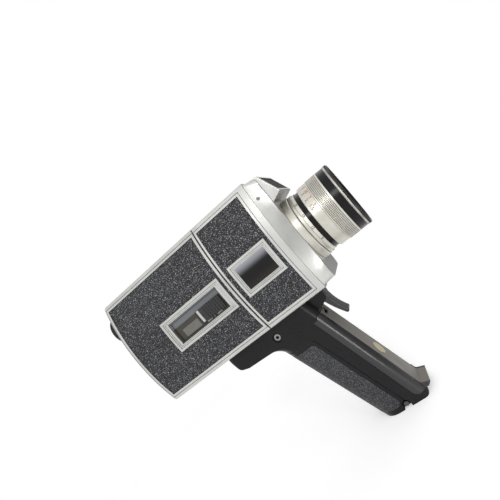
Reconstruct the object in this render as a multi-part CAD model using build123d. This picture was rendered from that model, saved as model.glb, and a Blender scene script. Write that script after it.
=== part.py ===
from build123d import *
import math
import os

# Pistol-grip cine camera for cartridge film.  All sizes are in millimetres.
#
# Working datum: x = 0 at the seam between film door and front panel, y = 0 on
# the optical axis and z = 0 at mid height of the body.  -y is the film-door
# side and +x points at the subject.  main() moves every node so that the
# origin lies in the mouth of the tripod socket.

# ------------------------------------------------------------ body casting
HALF_H = 44.0            # half height of the body
REAR_LEN = 96.0          # seam to rear face
SIDE_LEN = 47.7          # seam to front end of the side panels
HALF_W = 34.0            # half width at mid height
FLANK_R = 116.9          # radius of the barrelled flanks
WALL = 2.5               # casting wall
SHELL_T = 3.2            # side shells, measured in from the flank
SHELL_LIP = 3.4          # least depth of a side shell, along top and bottom
EDGE = 2.0               # outer edge radius
SEAM = 0.5               # half of the open seam between door and front panel
RUN = 0.06               # running clearance of turned fits
SLACK = 0.3              # clearance round pieces that move freely

# ------------------------------------- coverings, beads and flank windows
BEAD = 4.7               # panel edge to covering
POCKET_D = 1.3           # floor of the covering pocket, under the flank
COVER_D = 0.45           # surface of the covering, under the flank
LINE_W = 0.4             # fine line sunk along the bead
LINE_IN = 1.7            # covering to the fine line
WINDOW_FOOT = -18.2      # lower edge of both window frames
WINDOW_FRAME = 3.8       # width of the stepped frames
BADGE_BACK = 5.5         # seam to the badge window
BADGE_FRONT = 9.4        # badge window to the front end of the side panels
LATCH_SIDE = 5.0         # width of the latch frame at its two ends
LATCH_FRONT = 4.5        # seam to the latch frame
SLIDER_LEN = 16.2
SLIDER_H = 10.2
SLIDER_TRAVEL = 4.0
BAR_W = 1.8              # index bar beside the slider
FILM_WIN = (14.8, 6.2)   # film window in the latch tray

# ------------------------------------------------- front housing and hood
NOSE_LEN = 8.9           # depth of the front housing
NOSE_STEP = 0.5          # setback of the housing from the side panels
HOOD_HALF = 23.2         # half width of the hood
HOOD_REACH = 8.4         # how far its lower lip stands in front of the face
HOOD_LIP = 3.6           # height of the undercut lip
HOOD_RIM = 1.6           # rim of the sloping window
SCREW_R = 1.3

# -------------------------------------------------------------------- lens
LENS_Z = -5.9            # height of the optical axis
R_TUBE = 20.4            # outside of the fixed lens tube
TUBE_T = 1.5
CELL_T = 1.9             # wall of the inner lens mounts
FLANGE_LEN = 5.3
ZOOM_LEN = 4.8
INDEX_LEN = 3.2
FOCUS_LEN = 17.0
SCALE_LEN = 7.7          # plain scale zone of the focus ring
MOUTH_LEN = 8.7          # front ring, with the filter thread
RING_GAP = 0.2
FILTER_OUT = 2.6         # filter thread, major radius over the tube
FILTER_LEN = 4.1
ZOOM_TRAVEL = 8.0
CARRIAGE_LEN = 8.0

# ----------------------------------------------------- film side and drive
GATE_BACK = 6.0          # seam to the film gate
BULKHEAD = 4.0
MECH_T = 2.0             # mechanism wall beside the cartridge
MECH_Y = 13.0            # cartridge side of that wall
SHAFT_OFF = 10.0         # shutter shaft from the optical axis, up and across
SHUTTER_R = 18.3
WHEEL_R = 8.9
PINION_R = 4.0
MOTOR_R = 9.0
MOTOR_ROOM = 5.3         # motor to the front end of the side panels
SPINDLE_R = 3.0          # take-up spindle
TAKEUP = (-50.0, -6.0)   # take-up axis (x, z)
COUNTER = (-30.0, 0.0)   # counter spindle
COUNTER_R = 15.0

# ------------------------------------------------- controls, left side (x, z)
DIAL = (20.0, -8.0)
DIAL_R = 10.0
ROCKER = (15.0, 27.0)
ROCKER_LEN = 21.2
ROCKER_H = 7.2
SWITCH = (-58.0, -13.5)
SWITCH_TRAVEL = 7.0
BUTTON = (-76.0, 24.0)
BUTTON_R = 3.05

# ------------------------------------------------------------ hinge, finder
HINGE_R = 1.4
HINGE_PIN_R = 0.7
HINGE_IN = 8.0           # hinge ends below the top edge
KNUCKLE_LEN = 16.0
FINDER_R = 4.6
FINDER_Y = 6.0
FINDER_DROP = 1.9        # finder tube below the roof
EYE_DROP = 9.0           # eyepiece below the finder tube
EYE_R = 10.4             # eyepiece base

# -------------------------------------------------------------------- grip
GRIP_H = 98.5            # underside of the body to the base
HEAD_H = 16.0            # head of the grip, above the column
BACK_TOP = -12.0         # rear of the column where it meets the head
RAKE_SHIFT = 27.8        # how far the column leans forward over its height
DEPTH_TOP = 43.4         # front to back under the head
FLARE = 7.2              # how much deeper the column is at the top
GRIP_WALL = 2.0
BACK_ROUND = 11.0        # rear corner radius of the column
FRONT_ROUND = 6.5
CELL_R = 7.1             # cells
CELL_LEN = 49.0
CELL_PITCH = (14.6, 14.5)
CELL_TOP = 30.0          # underside of the body to the cell room
ROOM_SET = 1.4           # cell room behind the middle of the column
FOOT_ROUND = 3.0         # lower corners of the column
PAD_DROP = 24.2          # underside of the body to the pad
PAD_AHEAD = 2.75         # pad edge ahead of the middle of the column
PAD_ROUND = 5.0
PAD_D = 0.94
BORDER = 2.6             # border of the pad round its covering
COVER_T = 4.9            # front wall of the battery cover
COVER_SIDE = 8.2         # its side flanges, front to back
COVER_ROUND = 5.0
COVER_FOOT = 4.1         # its foot, above the base
COVER_PIVOT = (29.0, 16.0)   # x, and depth under the body
PIVOT_R = 1.1            # both pivot pins of the grip
PIN_HALF = (12.0, 8.3)   # half lengths of the cover pin and the trigger pin
BARREL_R = 2.5
LUG_R = 1.85             # fixed knuckle between the barrels
LUG_HALF = 4.8
PLATE_HALF = 11.0        # half width of the grey plate
PLATE_RISE = 2.8         # plate above the pivot
EYE_HALF = 5.2           # opening round the knuckle
LIP_OUT = 3.5            # lip of the battery cover, ahead of the foot of the front line
LIP_UP = 2.1             # its tip and its root, above the foot of the cover
LIP_ROOT = 4.1
LIP_HALF = 12.4
CATCH_UP = 38.8          # catch above the base
CATCH_R = 5.15
TRIG_PIVOT = (37.6, 5.0)     # x, and depth under the body
TRIG_HALF = 6.0
YOKE_HALF = 8.5          # half width of the trigger housing
SOCKET_X = 36.0          # tripod socket
SOCKET_R = 3.175
SOCKET_LEN = 7.6
BUSH_R = 6.0
BUSH_LEN = 9.0
JACK = (-4.0, 8.9)       # x, and depth under the body
JACK_R = 1.25
STRAP = (37.4, 2.9)      # x, and height over the base

# ------------------------------------------------------------ worked out
REAR = -REAR_LEN
NOSE_X = SIDE_LEN + NOSE_LEN
INNER_H = HALF_H - WALL
UNDER = -HALF_H
EDGE_W = math.sqrt(FLANK_R ** 2 - HALF_H ** 2) - FLANK_R + HALF_W
RIM = EDGE_W - SHELL_LIP
GATE_X = -GATE_BACK
BAY_X = GATE_X + BULKHEAD
BASE_Z = UNDER - GRIP_H
COLUMN_TOP = UNDER - HEAD_H
COLUMN_H = GRIP_H - HEAD_H
RAKE = math.atan(RAKE_SHIFT / COLUMN_H)
ROOM_HALF = CELL_PITCH
GRIP_W = ROOM_HALF[1] + GRIP_WALL
PIVOT_Z = UNDER - COVER_PIVOT[1]
FRAME = (-SOCKET_X, 0.0, -BASE_Z)

DOOR_IN = (REAR + 3.4, -2.4, UNDER + BEAD, HALF_H - BEAD)
FRONT_IN = (2.0, SIDE_LEN - 6.8, UNDER + BEAD + 0.3, HALF_H - BEAD - 0.3)
LEFT_IN = (REAR + 3.4, SIDE_LEN - 6.8, UNDER + BEAD, HALF_H - BEAD)

SLIDER_X1 = -LATCH_FRONT - LATCH_SIDE - 2.6
SLIDER_X0 = SLIDER_X1 - SLIDER_LEN
SLIDER_Z0 = WINDOW_FOOT + WINDOW_FRAME + 2.0
SLIDER_Z1 = SLIDER_Z0 + SLIDER_H
BAR_X0 = SLIDER_X0 - 2.5 - BAR_W
FILM_WIN_X1 = BAR_X0 - 3.2
FILM_WINDOW = (FILM_WIN_X1 - FILM_WIN[0], FILM_WIN_X1, SLIDER_Z0, SLIDER_Z0 + FILM_WIN[1])
LATCH_IN = (FILM_WINDOW[0] - 5.4, -LATCH_FRONT - LATCH_SIDE, SLIDER_Z0 - 2.0, SLIDER_Z1 + 5.0)
LATCH_OUT = (LATCH_IN[0] - LATCH_SIDE, -LATCH_FRONT, WINDOW_FOOT, LATCH_IN[3] + WINDOW_FRAME)
BADGE_OUT = (BADGE_BACK, SIDE_LEN - BADGE_FRONT, WINDOW_FOOT, LATCH_OUT[3])
BADGE_IN = (BADGE_OUT[0] + WINDOW_FRAME, BADGE_OUT[1] - WINDOW_FRAME,
            BADGE_OUT[2] + WINDOW_FRAME, BADGE_OUT[3] - WINDOW_FRAME)

R_BORE = R_TUBE - TUBE_T
R_GLASS = R_BORE - CELL_T
R_FILTER = R_TUBE + FILTER_OUT
R_FLANGE = R_TUBE + 4.5
ZOOM_X = NOSE_X + FLANGE_LEN + RING_GAP
INDEX_X = ZOOM_X + ZOOM_LEN + RING_GAP
FOCUS_X = INDEX_X + INDEX_LEN + RING_GAP
MOUTH_X = FOCUS_X + FOCUS_LEN + SLACK
LENS_END = MOUTH_X + MOUTH_LEN
CARRIAGE_X = NOSE_X + 3.4
CELL_X = CARRIAGE_X + CARRIAGE_LEN + ZOOM_TRAVEL + 2.0

HOOD_FOOT = LENS_Z + R_FLANGE + 1.4
HOOD_TOP = (NOSE_X + 1.8, HALF_H - 2.8)
HOOD_TIP = (NOSE_X + HOOD_REACH, HOOD_FOOT + HOOD_LIP)

HINGE = (REAR - 0.2, -RIM)
HINGE_END = HALF_H - HINGE_IN
KNUCKLES = [(-HINGE_END, KNUCKLE_LEN - HINGE_END), (HINGE_END - KNUCKLE_LEN, HINGE_END)]
LEAVES = [(KNUCKLES[0][1] + 0.4, -4.0), (4.0, KNUCKLES[1][0] - 0.4)]
FINDER_Z = INNER_H - FINDER_DROP - FINDER_R
EYE_Z = FINDER_Z - EYE_DROP
SHAFT = (SHAFT_OFF, LENS_Z + SHAFT_OFF)                     # shutter shaft (y, z)
MOTOR = (SHAFT[0] + 5.0, SHAFT[1] + math.sqrt((WHEEL_R + PINION_R + 0.1) ** 2 - 25.0))


# ---------------------------------------------------------------- helpers
def bx(x0, x1, y0, y1, z0, z1):
    return Pos((x0 + x1) / 2, (y0 + y1) / 2, (z0 + z1) / 2) * Box(x1 - x0, y1 - y0, z1 - z0)


def rod_x(x0, x1, y, z, r):
    return Pos((x0 + x1) / 2, y, z) * Rot(0, 90, 0) * Cylinder(r, x1 - x0)


def rod_y(y0, y1, x, z, r):
    return Pos(x, (y0 + y1) / 2, z) * Rot(90, 0, 0) * Cylinder(r, y1 - y0)


def rod_z(z0, z1, x, y, r):
    return Pos(x, y, (z0 + z1) / 2) * Cylinder(r, z1 - z0)


def prism_y(pts, y0, y1):
    """Outline of (x, z) points carried from y0 to y1."""
    line = Polyline(*[(x, y0, z) for x, z in pts], close=True)
    return extrude(make_face(line), amount=y1 - y0, dir=(0, 1, 0))


def turned(pts, y=0.0, z=LENS_Z):
    """Solid of revolution about the x direction from (x, radius) points."""
    face = make_face(Polyline(*[(x, 0, r) for x, r in pts], close=True))
    return Pos(0, y, z) * revolve(face, Axis.X)


def lens_disc(x0, x1, r, bulge, y=0.0, z=LENS_Z):
    """Round glass with a flat back at x0, a rim to x1 and a domed front."""
    dome_r = (r ** 2 + bulge ** 2) / (2 * bulge)
    return rod_x(x0, x1 + bulge, y, z, r) & Pos(x1 + bulge - dome_r, y, z) * Sphere(dome_r)


def flank(side, depth, x0, x1):
    """Cylinder whose surface lies a depth under the flank of one side."""
    return rod_x(x0, x1, side * (HALF_W - FLANK_R), 0, FLANK_R - depth)


def flank_y(z):
    """Half width of the body at height z."""
    return math.sqrt(FLANK_R ** 2 - z ** 2) - FLANK_R + HALF_W


def slab(side, box, d0, d1):
    """Curved plate (x0, x1, z0, z1) between two depths under the flank."""
    x0, x1, z0, z1 = box
    y0, y1 = sorted((side * RIM / 2, side * (HALF_W + 5)))
    skin = flank(side, d0, x0 - 1, x1 + 1) - flank(side, d1, x0 - 2, x1 + 2)
    return skin & bx(x0, x1, y0, y1, z0, z1)


def grown(box, g):
    x0, x1, z0, z1 = box
    return (x0 - g, x1 + g, z0 - g, z1 + g)


def bead_line(side, box):
    """Fine line sunk into the flank, round a covering."""
    outer = grown(box, LINE_IN + LINE_W)
    return slab(side, outer, -0.5, 0.35) - slab(side, grown(box, LINE_IN), -1.0, 1.5)


def control_hole(at, length, height, depth=40.0):
    """Rectangular hole through the left shell round (x, z)."""
    x, z = at
    return bx(x - length / 2, x + length / 2, RIM / 2, depth, z - height / 2, z + height / 2)


# ----------------------------------------------------------- body castings
def outer_body():
    b = bx(REAR, SIDE_LEN, -HALF_W - 1, HALF_W + 1, UNDER, HALF_H)
    b = b & flank(1, 0, REAR - 1, SIDE_LEN + 1) & flank(-1, 0, REAR - 1, SIDE_LEN + 1)
    edges = b.edges().filter_by(Axis.X) + b.faces().sort_by(Axis.X)[0].edges()
    return fillet(edges, EDGE)


OUTER = outer_body()


def knuckles(spans, clear=0.0):
    parts = [rod_z(a - clear, b + clear, *HINGE, HINGE_R + clear) for a, b in spans]
    return parts[0] + parts[1]


def hinge_bore():
    return rod_z(-HINGE_END - 1, HINGE_END + 1, *HINGE, HINGE_PIN_R + 0.05)


def finder_bore():
    return rod_x(REAR - 1, SIDE_LEN + 1, FINDER_Y, FINDER_Z, FINDER_R)


def chassis():
    """Middle frame: film chamber, drive bay and front bay round two walls."""
    b = OUTER & bx(REAR - 1, SIDE_LEN, -RIM, RIM, UNDER - 1, HALF_H + 1)
    b -= bx(REAR + WALL, GATE_X, -RIM - 1, MECH_Y, -INNER_H, INNER_H)
    b -= bx(REAR + WALL, GATE_X, MECH_Y + MECH_T, RIM + 1, -INNER_H, INNER_H)
    b -= bx(BAY_X, SIDE_LEN - WALL, -RIM - 1, RIM + 1, -INNER_H, INNER_H)
    b += motor_cradle()
    # light path: picture opening, lens opening, finder
    b -= rod_x(GATE_X - 1, BAY_X + 1, 0, LENS_Z, 7.0)
    b -= rod_x(SIDE_LEN - WALL - 1, SIDE_LEN + 1, 0, LENS_Z, R_TUBE + 0.6)
    b -= bx(SIDE_LEN - WALL - 1, SIDE_LEN + 1, -17, 17, HOOD_FOOT + 5.6, HALF_H - 5)
    b -= finder_bore()
    b -= rod_x(REAR - 1, REAR + WALL + 1, FINDER_Y, EYE_Z, 7.0)
    # trigger slot and drive shafts
    b -= bx(TRIG_PIVOT[0] - 7.6, TRIG_PIVOT[0] + 4.4, -TRIG_HALF - 0.6, TRIG_HALF + 0.6, UNDER - 1, UNDER + 3)
    b -= rod_y(MECH_Y - 1, MECH_Y + MECH_T + 1, *TAKEUP, SPINDLE_R + RUN)
    b -= rod_y(MECH_Y - 1, MECH_Y + MECH_T + 1, *COUNTER, 2.0 + RUN)
    # hinge corner
    b -= knuckles(LEAVES, 0.35)
    b += knuckles(KNUCKLES)
    return b - hinge_bore()


def motor_cradle():
    """Two ribs under the roof that hold the motor."""
    y, z = MOTOR
    hold = rod_x(BAY_X, SIDE_LEN, y, z, MOTOR_R + 0.02)
    ribs = [bx(x, x + 3, y - MOTOR_R, RIM, z, HALF_H - 1) for x in (BAY_X + 24, BAY_X + 38)]
    return ribs[0] + ribs[1] - hold


def dish(side, x0, x1):
    """Hollow side shell between two stations."""
    gap = SLACK if side < 0 and x0 < 0 else 0.0
    y0, y1 = sorted((side * (RIM + gap), side * (HALF_W + 5)))
    shell = OUTER & bx(x0, x1, y0, y1, UNDER - 1, HALF_H + 1)
    room = bx(x0 + WALL, x1 - WALL, -HALF_W, HALF_W, -INNER_H, INNER_H)
    return shell - (flank(side, SHELL_T, x0 - 1, x1 + 1) & room)


def film_door():
    b = dish(-1, REAR, -SEAM)
    b -= slab(-1, DOOR_IN, -1, POCKET_D) + bead_line(-1, DOOR_IN)
    b -= slab(-1, LATCH_IN, -1, 6)
    b -= knuckles(KNUCKLES, 0.35)
    leaf = knuckles(LEAVES)
    for z0, z1 in LEAVES:
        leaf += bx(HINGE[0], REAR + 3, -RIM - 3.5, -RIM - 0.25, z0, z1)
    b += leaf & bx(REAR - 3, REAR + 3, -RIM - 3.5, -RIM + 2, -HINGE_END, HINGE_END)
    return b - hinge_bore()


def covering(side, box, hole=None):
    b = slab(side, grown(box, -0.05), COVER_D, POCKET_D)
    return b - slab(side, grown(hole, 0.05), -1, 5) if hole else b


def door_leather():
    return covering(-1, DOOR_IN, LATCH_OUT)


def front_panel():
    b = dish(-1, SEAM, SIDE_LEN)
    return b - slab(-1, FRONT_IN, -1, POCKET_D) - bead_line(-1, FRONT_IN)


def front_leather():
    return covering(-1, FRONT_IN, BADGE_OUT)


def window_frame(out, inn):
    """Frame with three steps down towards the window."""
    b = slab(-1, out, -0.35, POCKET_D)
    b -= slab(-1, grown(out, -1.7), -1, 0.15)
    b -= slab(-1, grown(out, -2.9), -1, 0.45)
    return b - slab(-1, inn, -2, 5)


def badge_frame():
    return window_frame(BADGE_OUT, BADGE_IN)


def badge_glass():
    return slab(-1, grown(BADGE_IN, -0.02), 0.7, POCKET_D)


def latch_frame():
    return window_frame(LATCH_OUT, LATCH_IN)


def stem_span():
    return SLIDER_X0 + 3.1, SLIDER_X0 + 5.9


def latch_tray():
    x0, x1 = stem_span()
    mid = (SLIDER_Z0 + SLIDER_Z1) / 2
    b = slab(-1, grown(LATCH_IN, -0.02), POCKET_D + 0.1, 4.4)
    b -= slab(-1, grown(LATCH_IN, -0.9), 0, 3.0)
    b -= slab(-1, FILM_WINDOW, 2, 3.6)
    b -= slab(-1, grown(FILM_WINDOW, -1.1), 2, 6)
    b -= slab(-1, (x0 - SLIDER_TRAVEL - SLACK, x1 + 3.9, mid - 1.1, mid + 1.1), 2, 6)
    return b


def film_window():
    return slab(-1, grown(FILM_WINDOW, -0.01), 2.9, 3.6)


def door_pad():
    """Spring plate inside the door that steadies the cartridge."""
    face = -RIM + 7.0
    x0, x1 = TAKEUP[0] - 24, TAKEUP[0] + 16
    b = bx(x0, x1, face, face + 0.8, -30, 22)
    for z0 in (-30, 14):
        post = bx(TAKEUP[0] - 8, TAKEUP[0], -HALF_W, face + 0.4, z0, z0 + 8)
        b += post & flank(-1, SHELL_T, x0, x1)
    return b


def latch_slider():
    """Finger piece cut with a cross-hatch, on a stem with its bolt."""
    b = slab(-1, (SLIDER_X0, SLIDER_X1, SLIDER_Z0, SLIDER_Z1), 0.9, 2.6)
    for i in range(7):
        x = SLIDER_X0 + 1.7 + i * 2.15
        b -= slab(-1, (x, x + 0.7, SLIDER_Z0 - 1, SLIDER_Z1 + 1), 0, 1.5)
    for i in range(4):
        z = SLIDER_Z0 + 1.4 + i * 2.3
        b -= slab(-1, (SLIDER_X0 - 1, SLIDER_X1 + 1, z, z + 0.8), 0, 1.6)
    x0, x1 = stem_span()
    mid = (SLIDER_Z0 + SLIDER_Z1) / 2
    b += slab(-1, (BAR_X0 - BAR_W, SLIDER_X0 + 1.3, SLIDER_Z0, SLIDER_Z1), 2.1, 2.6)
    b += slab(-1, (x0, x1, mid - 0.9, mid + 0.9), 2.5, 6.4)
    b += slab(-1, (x0 - 1.8, -SEAM - WALL - 0.6, mid - 2.1, mid + 2.1), 5.4, 6.4)
    return b


def latch_bar():
    return slab(-1, (BAR_X0, BAR_X0 + BAR_W, SLIDER_Z0 + 0.8, SLIDER_Z1 - 0.2), 1.0, 2.1)


# ---------------------------------------------------------- left side shell
COUNTER_WINDOW = (COUNTER[0], COUNTER[1] + 11.5)
WINDOW_SIZE = (12.0, 7.0)
ROCKER_HOLE = (ROCKER_LEN + 0.8, ROCKER_H + 0.8)
SWITCH_HOLE = (SWITCH_TRAVEL + 9.0, 5.0)


def left_cover():
    b = dish(1, REAR, SIDE_LEN)
    b -= slab(1, LEFT_IN, -1, POCKET_D) + bead_line(1, LEFT_IN)
    b -= rod_y(RIM - 2, HALF_W + 9, *DIAL, 3.9 + RUN)
    b -= control_hole(ROCKER, *ROCKER_HOLE)
    b -= control_hole(COUNTER_WINDOW, *WINDOW_SIZE)
    b -= control_hole(SWITCH, *SWITCH_HOLE)
    b -= rod_y(RIM - 2, HALF_W + 9, *BUTTON, BUTTON_R + 0.25)
    return b


def left_leather():
    b = covering(1, LEFT_IN)
    b -= rod_y(RIM - 2, HALF_W + 9, *DIAL, DIAL_R + 1.4)
    b -= control_hole(ROCKER, ROCKER_HOLE[0] + 4, ROCKER_HOLE[1] + 4)
    b -= control_hole(COUNTER_WINDOW, WINDOW_SIZE[0] + 6, WINDOW_SIZE[1] + 6)
    b -= control_hole(SWITCH, SWITCH_HOLE[0] + 8, SWITCH_HOLE[1] + 6)
    b -= rod_y(RIM - 2, HALF_W + 9, *BUTTON, BUTTON_R + 2.35)
    return b


def surround(at, hole, margin, rise=0.1, floor=POCKET_D):
    """Plate on the flank round a rectangular hole."""
    x, z = at
    length = hole[0] + margin[0] - 0.2
    height = hole[1] + margin[1] - 0.2
    box = (x - length / 2, x + length / 2, z - height / 2, z + height / 2)
    return slab(1, box, -rise, floor) - control_hole(at, *hole)


def left_plates():
    """Silver surrounds of the exposure dial, zoom rocker and speed switch."""
    x, z = DIAL
    reach = DIAL_R + 2
    dial = slab(1, (x - reach, x + reach, z - reach, z + reach), -0.3, POCKET_D)
    dial = (dial & rod_y(RIM - 2, HALF_W + 9, *DIAL, DIAL_R + 1.3)) - rod_y(RIM - 2, HALF_W + 9, *DIAL, 3.9 + RUN)
    rocker = surround(ROCKER, ROCKER_HOLE, (4, 4), -0.1)
    switch = surround(SWITCH, SWITCH_HOLE, (8, 6), -0.1)
    return Compound(children=[dial, rocker, switch])


def counter_window():
    x, z = COUNTER_WINDOW
    rim = surround(COUNTER_WINDOW, (WINDOW_SIZE[0] + 2, WINDOW_SIZE[1] + 2), (4, 4), 0.0)
    half_l, half_h = WINDOW_SIZE[0] / 2 + 1, WINDOW_SIZE[1] / 2 + 1
    return rim + slab(1, (x - half_l, x + half_l, z - half_h, z + half_h), 0.5, POCKET_D)


# ------------------------------------------------------------ front housing
BACK_SECTION = (SIDE_LEN + 0.02, EDGE_W - NOSE_STEP, HALF_W - 0.8, HALF_H - 1.4, HALF_H - 1.4, 3.0)
FACE_SECTION = (NOSE_X, R_FLANGE + 0.3, R_FLANGE + 0.6, HALF_H - 2.0, HALF_H - 2.6, 6.0)


def housing_section(x, half_y, mid_y, below, above, r):
    z0, z1 = -below, above
    zc = (z0 + z1) / 2
    wire = Wire([
        Edge.make_line((x, -half_y, z1), (x, half_y, z1)),
        Edge.make_three_point_arc((x, half_y, z1), (x, mid_y, zc), (x, half_y, z0)),
        Edge.make_line((x, half_y, z0), (x, -half_y, z0)),
        Edge.make_three_point_arc((x, -half_y, z0), (x, -mid_y, zc), (x, -half_y, z1)),
    ])
    face = Face(wire)
    return fillet(face.vertices(), r)


def hood_point(s, d):
    """(x, z) of a point s down the sloping face of the hood and d out of it."""
    dx, dz = HOOD_TIP[0] - HOOD_TOP[0], HOOD_TIP[1] - HOOD_TOP[1]
    length = math.hypot(dx, dz)
    ux, uz = dx / length, dz / length
    return HOOD_TOP[0] + ux * s - uz * d, HOOD_TOP[1] + uz * s + ux * d


HOOD_FACE = math.hypot(HOOD_TIP[0] - HOOD_TOP[0], HOOD_TIP[1] - HOOD_TOP[1])
PANE = (HOOD_RIM, HOOD_FACE - HOOD_RIM - 0.6)
SCREW_AT = (SIDE_LEN + 3.5, HOOD_FOOT + 8.1)


def screw_seat():
    """Half width of the housing at its side screws, less their sinking."""
    share = (SCREW_AT[0] - SIDE_LEN) / NOSE_LEN
    back = BACK_SECTION[1] + (BACK_SECTION[2] - BACK_SECTION[1]) * (1 - (SCREW_AT[1] / HALF_H) ** 2)
    return back * (1 - share) + FACE_SECTION[1] * share - 1.2


def front_housing():
    b = loft([housing_section(*BACK_SECTION), housing_section(*FACE_SECTION)])
    back = SIDE_LEN + 2.3
    hood = prism_y([(back, HALF_H - 2), HOOD_TOP, HOOD_TIP, (NOSE_X - 0.6, HOOD_FOOT), (back, HOOD_FOOT)],
                   -HOOD_HALF, HOOD_HALF)
    hood = fillet(hood.edges().filter_by(Axis.Y).sort_by(Axis.X)[-2:], 0.8)
    ends = [e for e in hood.edges() if abs(e.center().Y) > HOOD_HALF - 1 and e.center().X > NOSE_X - 0.6]
    hood = fillet(ends, 0.7)
    b = b + (hood & bx(back, HOOD_TIP[0] + 5, -HOOD_HALF - 1, HOOD_HALF + 1, HOOD_FOOT - 1, HALF_H))
    # recess of the sloping window and its passage to the finder
    pane = [hood_point(PANE[0], 2), hood_point(PANE[1], 2), hood_point(PANE[1], -1.6), hood_point(PANE[0], -1.6)]
    b -= prism_y(pane, 2.4 - HOOD_HALF, HOOD_HALF - 2.4)
    shaft = [hood_point(PANE[0] + 1.6, 0), hood_point(PANE[1] - 1.6, 0),
             (SIDE_LEN - 1, HOOD_FOOT + 6.6), (SIDE_LEN - 1, HALF_H - 5.5)]
    b -= prism_y(shaft, -16.5, 16.5)
    # lens tube seat, hollow back, screw holes
    b -= rod_x(SIDE_LEN - 1, HOOD_TIP[0] + 5, 0, LENS_Z, R_TUBE)
    hollow = bx(SIDE_LEN - 1, NOSE_X - 2.4, 3 - EDGE_W, EDGE_W - 3, 6 - HALF_H, HOOD_FOOT - 3.4)
    b -= hollow - rod_x(SIDE_LEN - 1, NOSE_X, 0, LENS_Z, R_TUBE + 2.6)
    for side in (-1, 1):
        y0, y1 = sorted((side * (screw_seat() - 8.6), side * (HALF_W + 2)))
        b -= rod_y(y0, y1, *SCREW_AT, SCREW_R)
    return b


def hood_window():
    pane = [hood_point(PANE[0] + 0.02, -0.4), hood_point(PANE[1] - 0.02, -0.4),
            hood_point(PANE[1] - 0.02, -1.58), hood_point(PANE[0] + 0.02, -1.58)]
    return prism_y(pane, 2.42 - HOOD_HALF, HOOD_HALF - 2.42)


def housing_screws():
    x, z = SCREW_AT
    head = screw_seat()
    out = []
    for side in (-1, 1):
        y0, y1 = sorted((side * (head - 8.4), side * head))
        slot = bx(x - SCREW_R, x + SCREW_R, side * head - 0.5, side * head + 0.5, z - 0.25, z + 0.25)
        out.append(rod_y(y0, y1, x, z, SCREW_R - 0.01) - slot)
    return Compound(children=out)


# -------------------------------------------------------------------- lens
def lens_flange():
    end = NOSE_X + FLANGE_LEN
    return turned([(NOSE_X, R_TUBE + 0.01), (NOSE_X, R_FLANGE), (end - 0.6, R_FLANGE), (end, R_FLANGE - 0.5),
                   (end, R_TUBE + 0.01)])


def lens_tube():
    """Fixed tube that carries every ring, with the rear lens seat."""
    back, end = SIDE_LEN + 0.5, MOUTH_X - 1.4
    return turned([(back, R_GLASS), (back, R_TUBE - 0.01), (end, R_TUBE - 0.01), (end, R_BORE),
                   (NOSE_X + 0.9, R_BORE), (NOSE_X + 0.9, R_GLASS)])


def zoom_ring():
    x, r = ZOOM_X, R_TUBE
    return turned([(x, r + RUN), (x, r + 3.7), (x + 0.5, r + 4.0), (x + 2.3, r + 4.0), (x + 2.5, r + 3.5),
                   (x + ZOOM_LEN, r + 3.1), (x + ZOOM_LEN, r + RUN)])


def index_ring():
    x, r = INDEX_X, R_TUBE
    return turned([(x, r), (x, r + 2.7), (x + INDEX_LEN, r + 2.7), (x + INDEX_LEN, r)])


SCREW_X = FOCUS_X + FOCUS_LEN - 2.9
FOCUS_SCREWS = [200, 320, 80]        # degrees round the ring


def focus_ring():
    x, r, end = FOCUS_X, R_TUBE, FOCUS_X + FOCUS_LEN
    knurl = x + SCALE_LEN
    b = turned([(x, r + RUN), (x, r + 3.7), (x + 0.4, r + 4.1), (knurl - 0.2, r + 4.1), (knurl, r + 4.55),
                (knurl + 0.8, r + 4.55), (knurl + 1.0, r + 4.3), (end - 1.5, r + 4.3), (end - 1.3, r + 4.55),
                (end, r + 4.5), (end, r + RUN)])
    for angle in FOCUS_SCREWS:
        b -= Pos(SCREW_X, 0, LENS_Z) * Rot(angle, 0, 0) * Pos(0, r + 3.1, 0) * Rot(90, 0, 0) * Cylinder(0.8, 6.5)
    return b


def focus_screws():
    seat = Pos(0, R_TUBE + 2.15, 0) * Rot(90, 0, 0) * Cylinder(0.79, 4.0)
    return Compound(children=[Pos(SCREW_X, 0, LENS_Z) * Rot(angle, 0, 0) * seat for angle in FOCUS_SCREWS])


def front_cell():
    """Black front ring with its filter thread and the sleeve of the front lens."""
    x, end, r = MOUTH_X, LENS_END, R_TUBE
    glass = end - FILTER_LEN - 3.5
    return turned([(x, r + 4.4), (end - 0.7, r + 4.3), (end, r + 3.9), (end, R_FILTER + 0.5), (end - 0.5, R_FILTER),
                   (end - FILTER_LEN, R_FILTER), (end - FILTER_LEN - 0.4, R_FILTER - 0.6),
                   (glass, R_GLASS + 0.4), (glass, R_GLASS), (CELL_X, R_GLASS), (CELL_X, R_BORE - RUN),
                   (x - 1.1, R_BORE - RUN), (x - 1.1, r - 0.2), (x, r - 0.2)])


def front_lens():
    glass = LENS_END - FILTER_LEN - 3.5
    return lens_disc(CELL_X + 2.0, glass - 0.9, R_GLASS - 0.02, 2.2)


def zoom_carriage():
    x0, x1 = CARRIAGE_X, CARRIAGE_X + CARRIAGE_LEN
    seat = R_GLASS - 3.0
    return turned([(x0, seat), (x0, R_BORE - RUN), (x1, R_BORE - RUN), (x1, seat)])


def zoom_glass():
    return lens_disc(CARRIAGE_X + 1, CARRIAGE_X + CARRIAGE_LEN - 2.6, R_GLASS - 3.02, 1.4)


def rear_lens():
    return lens_disc(SIDE_LEN + 1.3, NOSE_X - 2.0, R_GLASS - 0.02, 1.2)


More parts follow.
